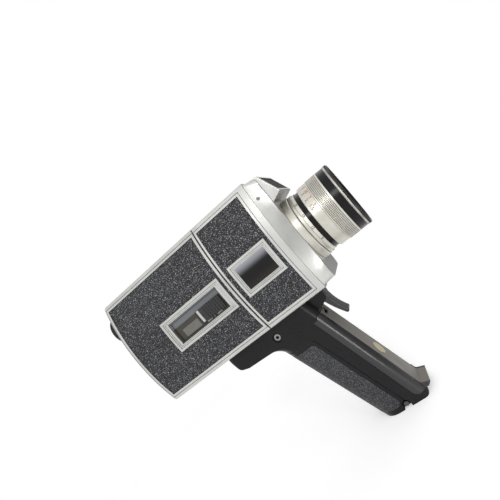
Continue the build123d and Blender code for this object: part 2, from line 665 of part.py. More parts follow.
# ----------------------------------------------------- film side and drive
def film_gate():
    b = bx(GATE_X - 1.2, GATE_X, -8, MECH_Y - 0.6, LENS_Z - 16, LENS_Z + 16)
    b -= bx(GATE_X - 3, GATE_X + 1, -2.9, 2.9, LENS_Z - 2.1, LENS_Z + 2.1)
    return b - bx(GATE_X - 3, GATE_X + 1, 3.6, 5.0, LENS_Z - 6, LENS_Z + 2)


def claw():
    """Pull-down claw, reaching through the bulkhead beside the picture."""
    tip = bx(GATE_X - 2.4, BAY_X + 3, 3.9, 4.7, LENS_Z - 4.9, LENS_Z - 4.0)
    return tip + bx(BAY_X + 1, BAY_X + 3, 3.9, 12.0, LENS_Z - 9, LENS_Z - 3)


def shutter():
    """Open-sector disc on its shaft, with the wheel that the motor drives."""
    y, z = SHAFT
    x = BAY_X + 7.4
    b = rod_x(x, x + 0.8, y, z, SHUTTER_R)
    sector = bx(x - 1, x + 2, y - SHUTTER_R, y, z - SHUTTER_R, z) & rod_x(x - 1, x + 2, y, z, SHUTTER_R - 1)
    b = b - sector + rod_x(x, x + 0.8, y, z, 4)
    b += rod_x(x - 1.4, x + 8.6, y, z, 1.5)
    return b + rod_x(x + 4, x + 7, y, z, WHEEL_R)


def motor():
    y, z = MOTOR
    x = BAY_X + 18.4
    b = rod_x(x, SIDE_LEN - MOTOR_ROOM, y, z, MOTOR_R) + rod_x(x - 2, x, y, z, 3.5)
    return b + rod_x(x - 7, x - 2, y, z, 1.0) + rod_x(x - 6.9, x - 4.1, y, z, PINION_R)


def takeup_drive():
    b = rod_y(MECH_Y - 2, MECH_Y + 7, *TAKEUP, SPINDLE_R)
    b += rod_y(MECH_Y + MECH_T + 0.4, MECH_Y + MECH_T + 2.4, *TAKEUP, 12)
    b += rod_y(MECH_Y - 2.5, MECH_Y - 1.8, *TAKEUP, 2.0)
    for angle in (0, 60, 120):
        b += Pos(TAKEUP[0], MECH_Y - 1.4, TAKEUP[1]) * Rot(0, angle, 0) * Box(8, 2.0, 1.2)
    return b


def counter_dial():
    face = flank_y(COUNTER[1]) - 7.4
    return rod_y(face - 2, face, *COUNTER, COUNTER_R) + rod_y(MECH_Y + 0.2, face - 1.8, *COUNTER, 2.0)


def exposure_dial():
    x, z = DIAL
    f = flank_y(z)
    b = rod_y(f + 0.67, f + 3.67, x, z, DIAL_R) + rod_y(f - 5.2, f + 0.87, x, z, 3.9)
    for i in range(24):
        b -= Pos(x, f + 2.2, z) * Rot(0, 15 * i, 0) * Pos(DIAL_R + 0.1, 0, 0) * Box(0.9, 4, 0.9)
    return b - bx(x - 0.5, x + 0.5, f + 3.27, f + 4, z, z + DIAL_R)


def zoom_rocker():
    x, z = ROCKER
    f = flank_y(z)
    half = ROCKER_LEN / 2
    b = bx(x - half, x + half, f - 4.4, f + 2.2, z - ROCKER_H / 2, z + ROCKER_H / 2)
    b += rod_z(z - ROCKER_H / 2 - 0.35, z + ROCKER_H / 2 + 0.35, x, f - 3.84, 0.7)
    for dip in (x - 6, x + 6):
        b -= rod_z(z - ROCKER_H, z + ROCKER_H, dip, f + 14.2, 13.2)
    return b


def speed_switch():
    x, z = SWITCH
    f = flank_y(z)
    x0 = x - 7.5
    b = bx(x0, x0 + 8, f - 6.2, f + 1.4, z - 2.2, z + 2.2)
    b += bx(x0 - 2, x0 + 10, f - 6.2, f - 4.8, z - 4, z + 4)
    for i in range(3):
        b -= bx(x0 + 1.6 + 2 * i, x0 + 2.4 + 2 * i, f + 0.8, f + 3, z - 3, z + 3)
    return b


def check_button():
    f = flank_y(BUTTON[1])
    return rod_y(f - 5.5, f + 1.1, *BUTTON, BUTTON_R) + rod_y(f - 5.5, f - 4.3, *BUTTON, BUTTON_R + 1.35)


# ------------------------------------------------------------ finder, hinge
def finder_tube():
    x0, x1 = REAR + WALL + 0.1, SIDE_LEN - 0.1
    return rod_x(x0, x1, FINDER_Y, FINDER_Z, FINDER_R) - rod_x(x0 - 1, x1 + 1, FINDER_Y, FINDER_Z, FINDER_R - 0.7)


def eyepiece_mount():
    x, r = REAR, EYE_R
    return turned([(x - 6.0, r - 5.8), (x - 6.0, r - 2.4), (x - 1.6, r - 2.4), (x - 1.6, r), (x, r),
                   (x, r - 3.4), (x + WALL - 0.1, r - 3.4), (x + WALL - 0.1, r - 5.8)], FINDER_Y, EYE_Z)


def eye_lens():
    return lens_disc(REAR - 5.4, REAR - 3.0, EYE_R - 5.8, 0.6, FINDER_Y, EYE_Z)


def diopter_ring():
    x, r = REAR, EYE_R
    bore = r - 2.4 + 0.08
    b = turned([(x - 9.4, r - 4), (x - 9.4, r - 0.2), (x - 1.9, r - 0.2), (x - 1.9, bore), (x - 6.3, bore),
                (x - 6.3, r - 4)], FINDER_Y, EYE_Z)
    for i in range(18):
        b -= Pos(0, FINDER_Y, EYE_Z) * Rot(20 * i, 0, 0) * Pos(x - 4.6, r - 0.1, 0) * Box(4.0, 0.8, 1.0)
    return b


def eyecup():
    x, r = REAR, EYE_R
    return turned([(x - 9.5, r - 4), (x - 9.5, r - 0.4), (x - 12.5, r - 0.2), (x - 21.6, r + 1.8),
                   (x - 22.4, r + 1.2), (x - 22.2, r + 0.2), (x - 13.0, r - 2.2), (x - 12.0, r - 4)], FINDER_Y, EYE_Z)


def door_pin():
    return rod_z(-HINGE_END - 0.4, HINGE_END + 0.4, *HINGE, HINGE_PIN_R)


# -------------------------------------------------------------------- grip
def share(z):
    """0 where the column meets the head, 1 at the base."""
    return (COLUMN_TOP - z) / COLUMN_H


def back_line(z):
    return BACK_TOP + (RAKE_SHIFT + FLARE / 2) * share(z)


def front_line(z):
    return BACK_TOP + DEPTH_TOP + (RAKE_SHIFT - FLARE / 2) * share(z)


def column_section(z, inset):
    """Level section of the column: round at the back, flatter in front."""
    back, front = back_line(z) + inset, front_line(z) - inset
    w = GRIP_W - 0.4 * share(z) - inset
    face = make_face(Polyline((back, -w), (front, -w), (front, w), (back, w), close=True))
    face = fillet(face.vertices().filter_by(lambda v: v.X < (back + front) / 2), BACK_ROUND - inset)
    face = fillet(face.vertices().filter_by(lambda v: v.X > front - 0.01), FRONT_ROUND - inset)
    return Pos(0, 0, z) * face


def column(inset=0.0):
    """Raked column from the body to the base, with rounded lower corners."""
    b = loft([column_section(UNDER - 0.02, inset), column_section(BASE_Z, inset)])
    side = prism_y([(back_line(UNDER) - 1, UNDER + 1), (front_line(UNDER) + 1, UNDER + 1),
                    (front_line(BASE_Z) - inset, BASE_Z), (back_line(BASE_Z) + inset, BASE_Z)], -HALF_W, HALF_W)
    return b & fillet(side.edges().filter_by(Axis.Y).sort_by(Axis.Z)[:2], FOOT_ROUND)


def ahead_of(back, z0, z1):
    """Everything in front of a plane that lies behind the front line."""
    return prism_y([(front_line(z1) - back, z1), (front_line(z0) + 40, z1), (front_line(z0) + 40, z0),
                    (front_line(z0) - back, z0)], -HALF_W, HALF_W)


def pad_region(g, z0, z1, r=PAD_ROUND):
    """Rear part of the column that carries the pad, drawn in by g, with round front corners."""
    def edge(z):
        return (back_line(z) + front_line(z)) / 2 + PAD_AHEAD - g

    b = prism_y([(REAR, z1), (edge(z1), z1), (edge(z0), z0), (REAR, z0)], -HALF_W, HALF_W)
    return fillet(b.edges().filter_by(Axis.Y).sort_by(Axis.X)[-2:], r - g / 2)


def strap_notch(r, y1):
    """Notch in the foot of the grip round the strap pin, open at the base."""
    x, z = STRAP[0], BASE_Z + STRAP[1]
    return rod_y(-GRIP_W - 3, y1, x, z, r) + bx(x - r, x + r, -GRIP_W - 3, y1, BASE_Z - 1, z)


def rake():
    """Plane whose z axis runs down the cell room, from the room's top."""
    z = UNDER - CELL_TOP
    x = (back_line(z) + front_line(z)) / 2 - ROOM_SET
    tilt = math.sin(RAKE), math.cos(RAKE)
    return Plane(origin=(x, 0, z), x_dir=(tilt[1], 0, tilt[0]), z_dir=(tilt[0], 0, -tilt[1]))


ROOM_LEN = CELL_LEN + 8.0
CELL_SPOTS = [(sx * CELL_PITCH[0] / 2, sy * CELL_PITCH[1] / 2) for sx in (-1, 1) for sy in (-1, 1)]


def cell_room():
    """Room for the cells: round behind each rear cell, open to the cover in front."""
    half_x, half_y = ROOM_HALF
    mid = ROOM_LEN / 2
    room = Pos(CELL_R / 2 + 0.5, 0, mid) * Box(2 * half_x - CELL_R + 1.0, 2 * half_y, ROOM_LEN)
    for x, y in CELL_SPOTS[:2]:
        room += Pos(x, y, mid) * Cylinder(CELL_R + 0.15, ROOM_LEN)
    room += Pos(-half_x / 2, 0, mid) * Box(2 * CELL_R, CELL_PITCH[1], ROOM_LEN)
    room += Pos(half_x, 0, mid) * Box(CELL_PITCH[0], 2 * half_y, ROOM_LEN)
    return rake() * room


def aa_cells():
    out = []
    for x, y in CELL_SPOTS:
        cell = Pos(x, y, ROOM_LEN / 2) * Cylinder(CELL_R, CELL_LEN)
        cell += Pos(x, y, (ROOM_LEN - CELL_LEN) / 2 - 0.5) * Cylinder(2.7, 1.4)
        out.append(rake() * cell)
    return Compound(children=out)


def battery_contacts():
    """Plate with four studs at each end of the cells."""
    gap = (ROOM_LEN - CELL_LEN) / 2
    out = []
    for plate, end in ((1.0, gap - 1.2), (ROOM_LEN - 1.6, ROOM_LEN - gap)):
        sheet = Pos(-0.4, 0, plate + 0.3) * Box(2 * CELL_PITCH[0] - 6, 2 * CELL_PITCH[1] - 8, 0.6)
        z0, z1 = sorted((plate + 0.3, end))
        for x, y in CELL_SPOTS:
            sheet += Pos(x * 0.8, y * 0.8, (z0 + z1) / 2) * Cylinder(1.4, z1 - z0)
        out.append(rake() * sheet)
    return Compound(children=out)


def blend_section(angle):
    """Level section of the sweep from the underside of the beak into the column."""
    a = math.radians(angle)
    z = COLUMN_TOP + 0.4 - SWEEP_R * (1 - math.cos(a))
    back = back_line(COLUMN_TOP - SWEEP_R) - SWEEP_R * (1 - math.sin(a))
    grow = angle / 90
    face = make_face(Polyline((back, -GRIP_W), (back + 22, -GRIP_W), (back + 22, GRIP_W), (back, GRIP_W), close=True))
    face = fillet(face.vertices().filter_by(lambda v: v.X < back + 1), BEAK_ROUND + (BACK_ROUND - BEAK_ROUND) * grow)
    return Pos(0, 0, z) * face


def beak():
    """Rear beak under the body, swept into the column."""
    outline = Polyline(
        (REAR_X, 0, UNDER - 0.02), (REAR_X + 4.6, 0, UNDER - 12.6), (REAR_X + 11.4, 0, UNDER - 14.7),
        (BACK_TOP - 0.3, 0, COLUMN_TOP + 0.4), (BACK_TOP + 20, 0, COLUMN_TOP + 0.4), (BACK_TOP + 20, 0, UNDER - 0.02),
        close=True)
    face = make_face(outline)
    face = fillet(face.vertices().filter_by(lambda v: abs(v.X - REAR_X - 4.6) < 0.01), 4.5)
    b = extrude(face, amount=GRIP_W, dir=(0, 1, 0), both=True)
    plan = Pos(0, 0, COLUMN_TOP) * make_face(Polyline((REAR_X, -GRIP_W), (BACK_TOP + 20, -GRIP_W),
                                                      (BACK_TOP + 20, GRIP_W), (REAR_X, GRIP_W), close=True))
    plan = fillet(plan.vertices().filter_by(lambda v: v.X < REAR_X + 1), BEAK_ROUND)
    b = b & extrude(plan, amount=HEAD_H, dir=(0, 0, 1))
    return b + loft([blend_section(a) for a in (0, 20, 40, 60, 75)])


def trigger_yoke():
    """Narrow housing in front of the head, with a cheek on each side of the trigger."""
    x, z = TRIG_PIVOT[0], UNDER - TRIG_PIVOT[1]
    return prism_y([(x - 12, UNDER - 0.02), (x + 3.2, UNDER - 0.02), (x + 2.9, z - 1.6), (x + 0.2, z - 4.4),
                    (x - 4.6, z - 6.6), (x - 12, z - 6.6)], -YOKE_HALF, YOKE_HALF)


REAR_X = BACK_TOP - 35.4         # tail of the beak, where it meets the body
BEAK_ROUND = 6.0
SWEEP_R = 13.0                   # concave sweep behind the column


def cover_region(g):
    """Space of the battery cover in the side view, grown by g."""
    z0, z1 = BASE_Z + COVER_FOOT - g, PIVOT_Z + g
    b = ahead_of(COVER_SIDE + g, z0, z1)
    return fillet(b.edges().filter_by(Axis.Y).sort_by(Axis.Z)[:2].sort_by(Axis.X)[:1], COVER_ROUND + g)


def grip_shell():
    b = beak() + column() + trigger_yoke()
    b -= (column() - column(PAD_D + 0.01)) & pad_region(0.0, BASE_Z - 8, UNDER - PAD_DROP)
    # recess of the battery cover, its barrel and the swing of the plate
    b -= cover_region(SLACK) & bx(0, front_line(BASE_Z) + 30, -HALF_W, HALF_W, BASE_Z, COLUMN_TOP)
    x = COVER_PIVOT[0]
    b -= rod_y(-HALF_W, HALF_W, x, PIVOT_Z, BARREL_R + SLACK)
    swing = PLATE_HALF + 0.4
    b -= bx(x - 2, x + 9, -swing, swing, PIVOT_Z, PIVOT_Z + PLATE_RISE + 0.4)
    b -= cell_room()
    # fixed knuckle of the cover hinge
    b += rod_y(-LUG_HALF, LUG_HALF, x, PIVOT_Z, LUG_R)
    b += bx(x - 4.2, x - 1.4, -LUG_HALF, LUG_HALF, PIVOT_Z - 2, PIVOT_Z + PLATE_RISE + 2.4)
    slot = TRIG_HALF + 0.5
    b -= bx(TRIG_PIVOT[0] - 7.2, TRIG_PIVOT[0] + 22, -slot, slot, COLUMN_TOP - 1, UNDER + 1)
    b -= rod_y(-PIN_HALF[1], PIN_HALF[1], TRIG_PIVOT[0], UNDER - TRIG_PIVOT[1], PIVOT_R)
    b -= rod_y(-PIN_HALF[0], PIN_HALF[0], COVER_PIVOT[0], PIVOT_Z, PIVOT_R)
    # cable room above the cells
    b -= bx(BACK_TOP - 18, TRIG_PIVOT[0] - 13.6, -13.5, 13.5, COLUMN_TOP + 3, UNDER + 1)
    # seats of the bush, the remote socket and the strap pin
    b -= rod_z(BASE_Z - 1, BASE_Z + BUSH_LEN, SOCKET_X, 0, BUSH_R)
    x, z = JACK[0], UNDER - JACK[1]
    b -= rod_y(-GRIP_W - 3, 1.0 - GRIP_W, x, z, JACK_R + 2.65) + rod_y(-GRIP_W - 3, -8, x, z, JACK_R + 1.05)
    b -= strap_notch(2.9, 4.5 - GRIP_W)
    return b - rod_y(2 - GRIP_W, GRIP_WALL + 5 - GRIP_W, STRAP[0], BASE_Z + STRAP[1], 1.68)


def grip_pad():
    """Sunk hand pad with its border and a bed for the covering."""
    b = (column(0.1) - column(PAD_D)) & pad_region(0.45, BASE_Z - 8, UNDER - PAD_DROP - 0.4)
    b -= strap_notch(3.3, -5)
    return b - ((column(-0.2) - column(0.5)) & pad_bed(0.0))


def pad_bed(g):
    """Field of the grip covering inside the border, drawn in by g."""
    return pad_region(0.45 + BORDER + g, BASE_Z + BORDER + 1.2 + g, UNDER - PAD_DROP - 0.9 - BORDER - g)


def grip_leather():
    return (column(0.0) - column(0.49)) & pad_bed(0.15)


def scoop(sunk=0.0):
    """Short lip at the foot of the battery cover, with its top sunk."""
    x, z = front_line(BASE_Z), BASE_Z + COVER_FOOT
    root = (front_line(z + LIP_ROOT - sunk) - sunk, z + LIP_ROOT - sunk)
    tip = (x + LIP_OUT - 1.13 * sunk, z + LIP_UP - 0.95 * sunk)
    b = prism_y([(front_line(z + 8) - sunk, z + 8), root, tip, (x + LIP_OUT - 2.5, z), (x - 4.4, z),
                 (front_line(z + 8) - 4.4, z + 8)], -LIP_HALF, LIP_HALF)
    inner = b.edges().filter_by(Axis.Y).sort_by(lambda e: abs(e.center().X - root[0]) + abs(e.center().Z - root[1]))[0]
    return fillet(inner, 2.4 + sunk)


def plate_region(g, d0, d1):
    """Sunk field of the grey plate, drawn in by g."""
    z1, z0 = PIVOT_Z + PLATE_RISE - g, BASE_Z + COVER_FOOT + 6.0
    pts = [(front_line(z) - d, z) for z, d in ((z1, d0), (z0, d0), (z0, d1), (z1, d1))]
    return prism_y(pts, g - PLATE_HALF, PLATE_HALF - g)


def lip_field(g):
    """Part of the scooped lip that the plate covers, drawn in by g."""
    z = BASE_Z + COVER_FOOT
    return bx(0, HALF_W * 3, g - PLATE_HALF, PLATE_HALF - g, z - 1, z + 11.4)


def catch_plane():
    z = BASE_Z + CATCH_UP
    slope = math.atan((RAKE_SHIFT - FLARE / 2) / COLUMN_H)
    return Plane(origin=(front_line(z), 0, z), x_dir=(0, 1, 0), z_dir=(math.cos(slope), 0, math.sin(slope)))


def battery_cover():
    """Front of the grip: a channel with side flanges, a hinge barrel and a lip."""
    b = column() & cover_region(0.0)
    room = ROOM_HALF[1] + 0.2
    behind = bx(0, front_line(BASE_Z), -room, room, BASE_Z, COLUMN_TOP) - ahead_of(COVER_T, BASE_Z, COLUMN_TOP)
    b = b - behind + scoop()
    b += rod_y(-HALF_W, HALF_W, COVER_PIVOT[0], PIVOT_Z, BARREL_R) & column()
    b -= plate_region(0.0, -1.0, 1.4)
    b -= (scoop(-1.0) - scoop(1.4)) & lip_field(0.0)
    b -= rod_y(-PIN_HALF[0] - 0.2, PIN_HALF[0] + 0.2, COVER_PIVOT[0], PIVOT_Z, PIVOT_R + RUN)
    b -= bx(COVER_PIVOT[0] - 10, COVER_PIVOT[0] + 6, -EYE_HALF, EYE_HALF, PIVOT_Z - 2.4, COLUMN_TOP + 5)
    return b - catch_plane() * Cylinder(CATCH_R + 0.1, 16)


def cover_plate():
    """Grey sheet of the cover, with an opening near its top and a scooped lip."""
    b = plate_region(0.35, 0.15, 1.38) + ((scoop(0.15) - scoop(1.38)) & lip_field(0.35))
    b -= catch_plane() * Cylinder(CATCH_R + 0.15, 8)
    b -= rod_y(-HALF_W, HALF_W, COVER_PIVOT[0], PIVOT_Z, PIVOT_R + RUN)
    return b - bx(COVER_PIVOT[0] - 10, COVER_PIVOT[0] + 6, -EYE_HALF, EYE_HALF, PIVOT_Z - 2.4,
                  PIVOT_Z + PLATE_RISE - 0.75)


def catch_button():
    b = catch_plane() * (Pos(0, 0, -1.7) * Cylinder(CATCH_R, 4.0))
    return b + catch_plane() * (Pos(0, 0, -4.3) * Cylinder(3.0, 1.6))


def grip_pins():
    """Two pins: battery cover hinge and trigger pivot."""
    return Compound(children=[rod_y(-h, h, x, z, PIVOT_R) for h, x, z in (
        (PIN_HALF[0], COVER_PIVOT[0], PIVOT_Z), (PIN_HALF[1], TRIG_PIVOT[0], UNDER - TRIG_PIVOT[1]))])


def trigger():
    """Curved finger lever, hollow in front, with a rounded tip."""
    x, z = TRIG_PIVOT[0], UNDER - TRIG_PIVOT[1]
    top_back, top_front = (x - 2.2, z + 3.8), (x + 3.4, z + 3.8)
    tip_front, tip_back = (x + 8.5, z - 18.0), (x + 6.8, z - 20.6)

    def arc(a, b, c):
        return Edge.make_three_point_arc(*[(px, 0, pz) for px, pz in (a, b, c)])

    edges = [Edge.make_line((*top_back[:1], 0, top_back[1]), (top_front[0], 0, top_front[1])),
             arc(top_front, (x + 4.6, z - 8.6), tip_front),
             arc(tip_front, (x + 8.5, z - 20.2), tip_back),
             arc(tip_back, (x + 0.6, z - 9.6), (x - 3.2, z)),
             arc((x - 3.2, z), (x - 3.2, z + 2.2), top_back)]
    b = extrude(Face(Wire(edges)), amount=TRIG_HALF, dir=(0, 1, 0), both=True)
    rims = [e for e in b.edges() if abs(abs(e.center().Y) - TRIG_HALF) < 0.01 and e.center().X > x + 3.6]
    b = fillet(rims, 0.9)
    return b - rod_y(-HALF_W, HALF_W, x, z, PIVOT_R + RUN)


def tripod_bush():
    b = rod_z(BASE_Z, BASE_Z + BUSH_LEN, SOCKET_X, 0, BUSH_R)
    return b - rod_z(BASE_Z - 1, BASE_Z + SOCKET_LEN, SOCKET_X, 0, SOCKET_R)


def jack_socket():
    x, z = JACK[0], UNDER - JACK[1]
    return rod_y(0.2 - GRIP_W, -8.0, x, z, JACK_R + 1.05) - rod_y(-GRIP_W - 3, -9.4, x, z, JACK_R)


def strap_pin():
    return rod_y(1.1 - GRIP_W, GRIP_WALL + 5 - GRIP_W, STRAP[0], BASE_Z + STRAP[1], 1.68)


NODES = [
    chassis, front_housing, hood_window, housing_screws, front_panel, front_leather, badge_frame, badge_glass,
    left_cover, left_leather, left_plates, counter_window, film_door, door_leather, latch_frame, latch_tray,
    film_window, door_pad, latch_slider, latch_bar, door_pin, lens_flange, lens_tube, zoom_ring, index_ring,
    focus_ring, focus_screws, front_cell, front_lens, zoom_carriage, zoom_glass, rear_lens, film_gate, claw,
    shutter, motor, takeup_drive, counter_dial, exposure_dial, zoom_rocker, speed_switch, check_button,
    finder_tube, eyepiece_mount, eye_lens, diopter_ring, eyecup, grip_shell, grip_pad, grip_leather, aa_cells,
    battery_contacts, battery_cover, cover_plate, catch_button, grip_pins, trigger, tripod_bush, jack_socket,
    strap_pin,
]


def main():
    os.makedirs("parts", exist_ok=True)
    for make in NODES:
        shape = Pos(*FRAME) * make()
        box = shape.bounding_box()
        print(f"{make.__name__:18s} solids {len(shape.solids()):2d} valid {shape.is_valid} "
              f"x {box.min.X:7.1f}..{box.max.X:7.1f} y {box.min.Y:6.1f}..{box.max.Y:6.1f} "
              f"z {box.min.Z:6.1f}..{box.max.Z:6.1f}")
        export_step(shape, f"parts/{make.__name__}.step")


main()
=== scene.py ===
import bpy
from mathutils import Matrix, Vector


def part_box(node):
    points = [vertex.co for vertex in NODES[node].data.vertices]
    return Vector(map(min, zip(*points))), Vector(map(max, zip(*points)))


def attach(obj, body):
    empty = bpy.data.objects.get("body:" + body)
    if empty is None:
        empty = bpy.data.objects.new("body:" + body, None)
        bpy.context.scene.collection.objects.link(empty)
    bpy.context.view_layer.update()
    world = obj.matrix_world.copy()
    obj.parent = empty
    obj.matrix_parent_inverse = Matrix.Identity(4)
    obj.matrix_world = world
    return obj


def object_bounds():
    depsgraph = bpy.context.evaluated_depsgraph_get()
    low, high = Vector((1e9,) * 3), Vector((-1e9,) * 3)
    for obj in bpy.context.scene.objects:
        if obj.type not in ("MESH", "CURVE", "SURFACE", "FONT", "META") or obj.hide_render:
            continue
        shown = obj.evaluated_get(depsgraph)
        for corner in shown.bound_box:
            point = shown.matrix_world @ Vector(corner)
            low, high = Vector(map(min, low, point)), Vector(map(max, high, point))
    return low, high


bl_info = {
    "name": "Pistol-grip cine camera",
    "version": (1, 0, 0),
    "blender": (4, 5, 0),
    "location": "View3D > Sidebar > Cine camera",
    "description": "Finishes, engraving and studio for a pistol-grip cine camera",
    "category": "Object",
}

import math

import bpy
from bpy.props import FloatProperty, FloatVectorProperty, PointerProperty
from mathutils import Matrix, Vector

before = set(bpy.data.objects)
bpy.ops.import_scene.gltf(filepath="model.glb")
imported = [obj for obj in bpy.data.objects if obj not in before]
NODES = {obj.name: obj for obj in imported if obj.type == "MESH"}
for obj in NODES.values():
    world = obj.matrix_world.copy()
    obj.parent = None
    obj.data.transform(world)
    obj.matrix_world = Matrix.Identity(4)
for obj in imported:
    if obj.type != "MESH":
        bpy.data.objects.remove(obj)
CAD_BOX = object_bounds()
MM = 0.001


# ------------------------------------------------------- places in the frame
def middle(node):
    """Centre of a CAD node."""
    low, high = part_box(node)
    return (low + high) / 2


AXIS_Z = middle("lens_tube").z          # height of the optical axis
INDEX_ANGLE = math.radians(163.8)       # fixed index of the lens, from +Y towards +Z


def ring(node):
    """(back x, front x, outer radius) of a turned node on the optical axis."""
    low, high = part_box(node)
    return low.x, high.x, (high.z - low.z) / 2


def on_ring(x, radius, angle):
    """Point at that radius and angle round the optical axis."""
    return Vector((x, radius * math.cos(angle), AXIS_Z + radius * math.sin(angle)))


# ------------------------------------------------------------------- settings
def paint(r, g, b):
    """Linear colour from 0-255 display values."""
    def linear(v):
        v /= 255
        return v / 12.92 if v <= 0.04045 else ((v + 0.055) / 1.055) ** 2.4
    return linear(r), linear(g), linear(b)


def colour_prop(name, description, *levels):
    return FloatVectorProperty(name=name, description=description, subtype="COLOR", size=3,
                               min=0, max=1, default=paint(*levels))


def size_prop(name, description, default_mm):
    return FloatProperty(name=name, description=description, unit="LENGTH", subtype="DISTANCE",
                         min=0, default=default_mm * MM, precision=5)


class CineFinishes(bpy.types.PropertyGroup):
    """Colours of the camera's finishes."""
    silver: colour_prop("Casting silver", "Satin metal of the body castings", 204, 204, 201)
    turned: colour_prop("Turned silver", "Turned metal of the lens rings", 206, 204, 194)
    leather: colour_prop("Leatherette", "Pebbled covering of the body", 24, 24, 27)
    # The crease colour is painted shade and the crest colour a painted highlight on the pebbles
    crease: colour_prop("Leatherette crease shade", "Painted shade in the creases between the pebbles", 12, 12, 15)
    crest: colour_prop("Leatherette crest highlights", "Painted highlights on the crests of the pebbles", 152, 153, 157)
    plastic: colour_prop("Black moulding", "Satin moulding of the grip", 21, 21, 23)
    enamel: colour_prop("Black enamel", "Glossy black of the lens rings", 14, 14, 17)
    plate: colour_prop("Grey plate", "Painted sheet of the battery cover", 120, 116, 110)
    cream: colour_prop("Cream button", "Catch of the battery cover", 188, 178, 142)
    tray: colour_prop("Latch tray", "Floor of the latch recess", 70, 67, 61)
    tray_wall_highlight: colour_prop("Tray wall highlight", "Sloping upper wall of the latch recess", 118, 121, 125)
    # Paler colour of the sloping upper wall: a painted highlight
    pane: colour_prop("Film window", "Yellowed moulding of the film window", 112, 110, 103)
    red_ink: colour_prop("Red filling", "Filling of the front row of figures", 190, 84, 62)
    grey_ink: colour_prop("Grey filling", "Filling of the back row of figures", 112, 108, 102)


class CineSizes(bpy.types.PropertyGroup):
    """Sizes of the grain, engraving and cut patterns."""
    pebble: size_prop("Pebble", "Mean width of a pebble of the body covering", 1.15)
    grip_grain: size_prop("Grip grain", "Mean width of a grain of the grip covering", 0.62)
    knurl_pitch: size_prop("Knurl pitch", "Pitch of the beads on the focus ring", 1.1)
    knurl_height: size_prop("Knurl height", "Height of the beads on the focus ring", 0.24)
    figure: size_prop("Figure height", "Height of the scale figures", 2.2)
    mark_width: size_prop("Mark width", "Width of engraved index lines", 0.28)
    ink: size_prop("Filling height", "How proud the filled marks stand", 0.02)
    filter_pitch: size_prop("Filter thread", "Pitch of the filter thread", 0.6)
    tripod_pitch: size_prop("Tripod thread", "Pitch of the tripod thread", 1.27)
    # Also the width of the painted edge highlight on the silvers
    worn_edge: size_prop("Worn edge", "Width of the worn edges", 0.28)
    # Reach of the painted shade in seams and inner corners
    seam: size_prop("Seam shade", "How far painted shade reaches out of seams and inner corners", 0.6)


# ------------------------------------------------------------- shader building
def add(tree, kind, inputs=None, **settings):
    """A new node with its settings, and inputs that are values or sockets."""
    made = tree.nodes.new(kind)
    for name, value in settings.items():
        setattr(made, name, value)
    for name, value in (inputs or {}).items():
        socket = made.inputs[name]
        if isinstance(value, bpy.types.NodeSocket):
            tree.links.new(value, socket)
        else:
            socket.default_value = value
    return made


def maths(tree, operation, *values, clamp=False):
    made = add(tree, "ShaderNodeMath", dict(enumerate(values)), operation=operation, use_clamp=clamp)
    return made.outputs[0]


def vectors(tree, operation, first, second):
    """Vector maths on two vectors, or on a vector and its scale."""
    name = "Scale" if operation == "SCALE" else 1
    made = add(tree, "ShaderNodeVectorMath", {0: first, name: second}, operation=operation)
    return made.outputs["Value" if operation == "DOT_PRODUCT" else "Vector"]


def remap(tree, value, low, high, to_low=0.0, to_high=1.0, smooth=True):
    made = add(tree, "ShaderNodeMapRange", {"Value": value, "From Min": low, "From Max": high,
                                            "To Min": to_low, "To Max": to_high},
               interpolation_type="SMOOTHSTEP" if smooth else "LINEAR")
    return made.outputs["Result"]


def rgba(colour):
    return (*colour[:3], 1.0)


def shaded(colour, factor):
    """The colour made darker or lighter by a factor."""
    return tuple(min(1.0, c * factor) for c in colour[:3])


def tones(colour, dark, light):
    """A darker and a lighter tone of a colour."""
    return shaded(colour, dark), shaded(colour, light)


def blended(tree, factor, a, b):
    """Colour a where factor is 0 and b where it is 1; each is a colour or a socket."""
    a, b = (end if isinstance(end, bpy.types.NodeSocket) else rgba(end) for end in (a, b))
    return add(tree, "ShaderNodeMix", {0: factor, 6: a, 7: b}, data_type="RGBA").outputs[2]


def own_place(tree):
    """Place on the piece, in its own axes."""
    return add(tree, "ShaderNodeTexCoord").outputs["Object"]


def own_height(tree):
    return add(tree, "ShaderNodeSeparateXYZ", {0: own_place(tree)}).outputs["Z"]


def noise(tree, place, scale, detail, rough=0.5):
    made = add(tree, "ShaderNodeTexNoise", {"Vector": place, "Scale": scale, "Detail": detail,
                                            "Roughness": rough})
    return made.outputs["Fac"]


def effect(name, inputs, outputs):
    """Empty shader group of value sockets, with the sockets that it is given and gives."""
    tree = bpy.data.node_groups.new(name, "ShaderNodeTree")
    for label, default in inputs.items():
        socket = tree.interface.new_socket(label, in_out="INPUT", socket_type="NodeSocketFloat")
        socket.default_value = default
    for label in outputs:
        tree.interface.new_socket(label, in_out="OUTPUT", socket_type="NodeSocketFloat")
    return tree, tree.nodes.new("NodeGroupInput").outputs, tree.nodes.new("NodeGroupOutput").inputs


def give(tree, out, **values):
    """The group, with values on its outputs."""
    for label, value in values.items():
        tree.links.new(value, out[label.capitalize()])
    return tree


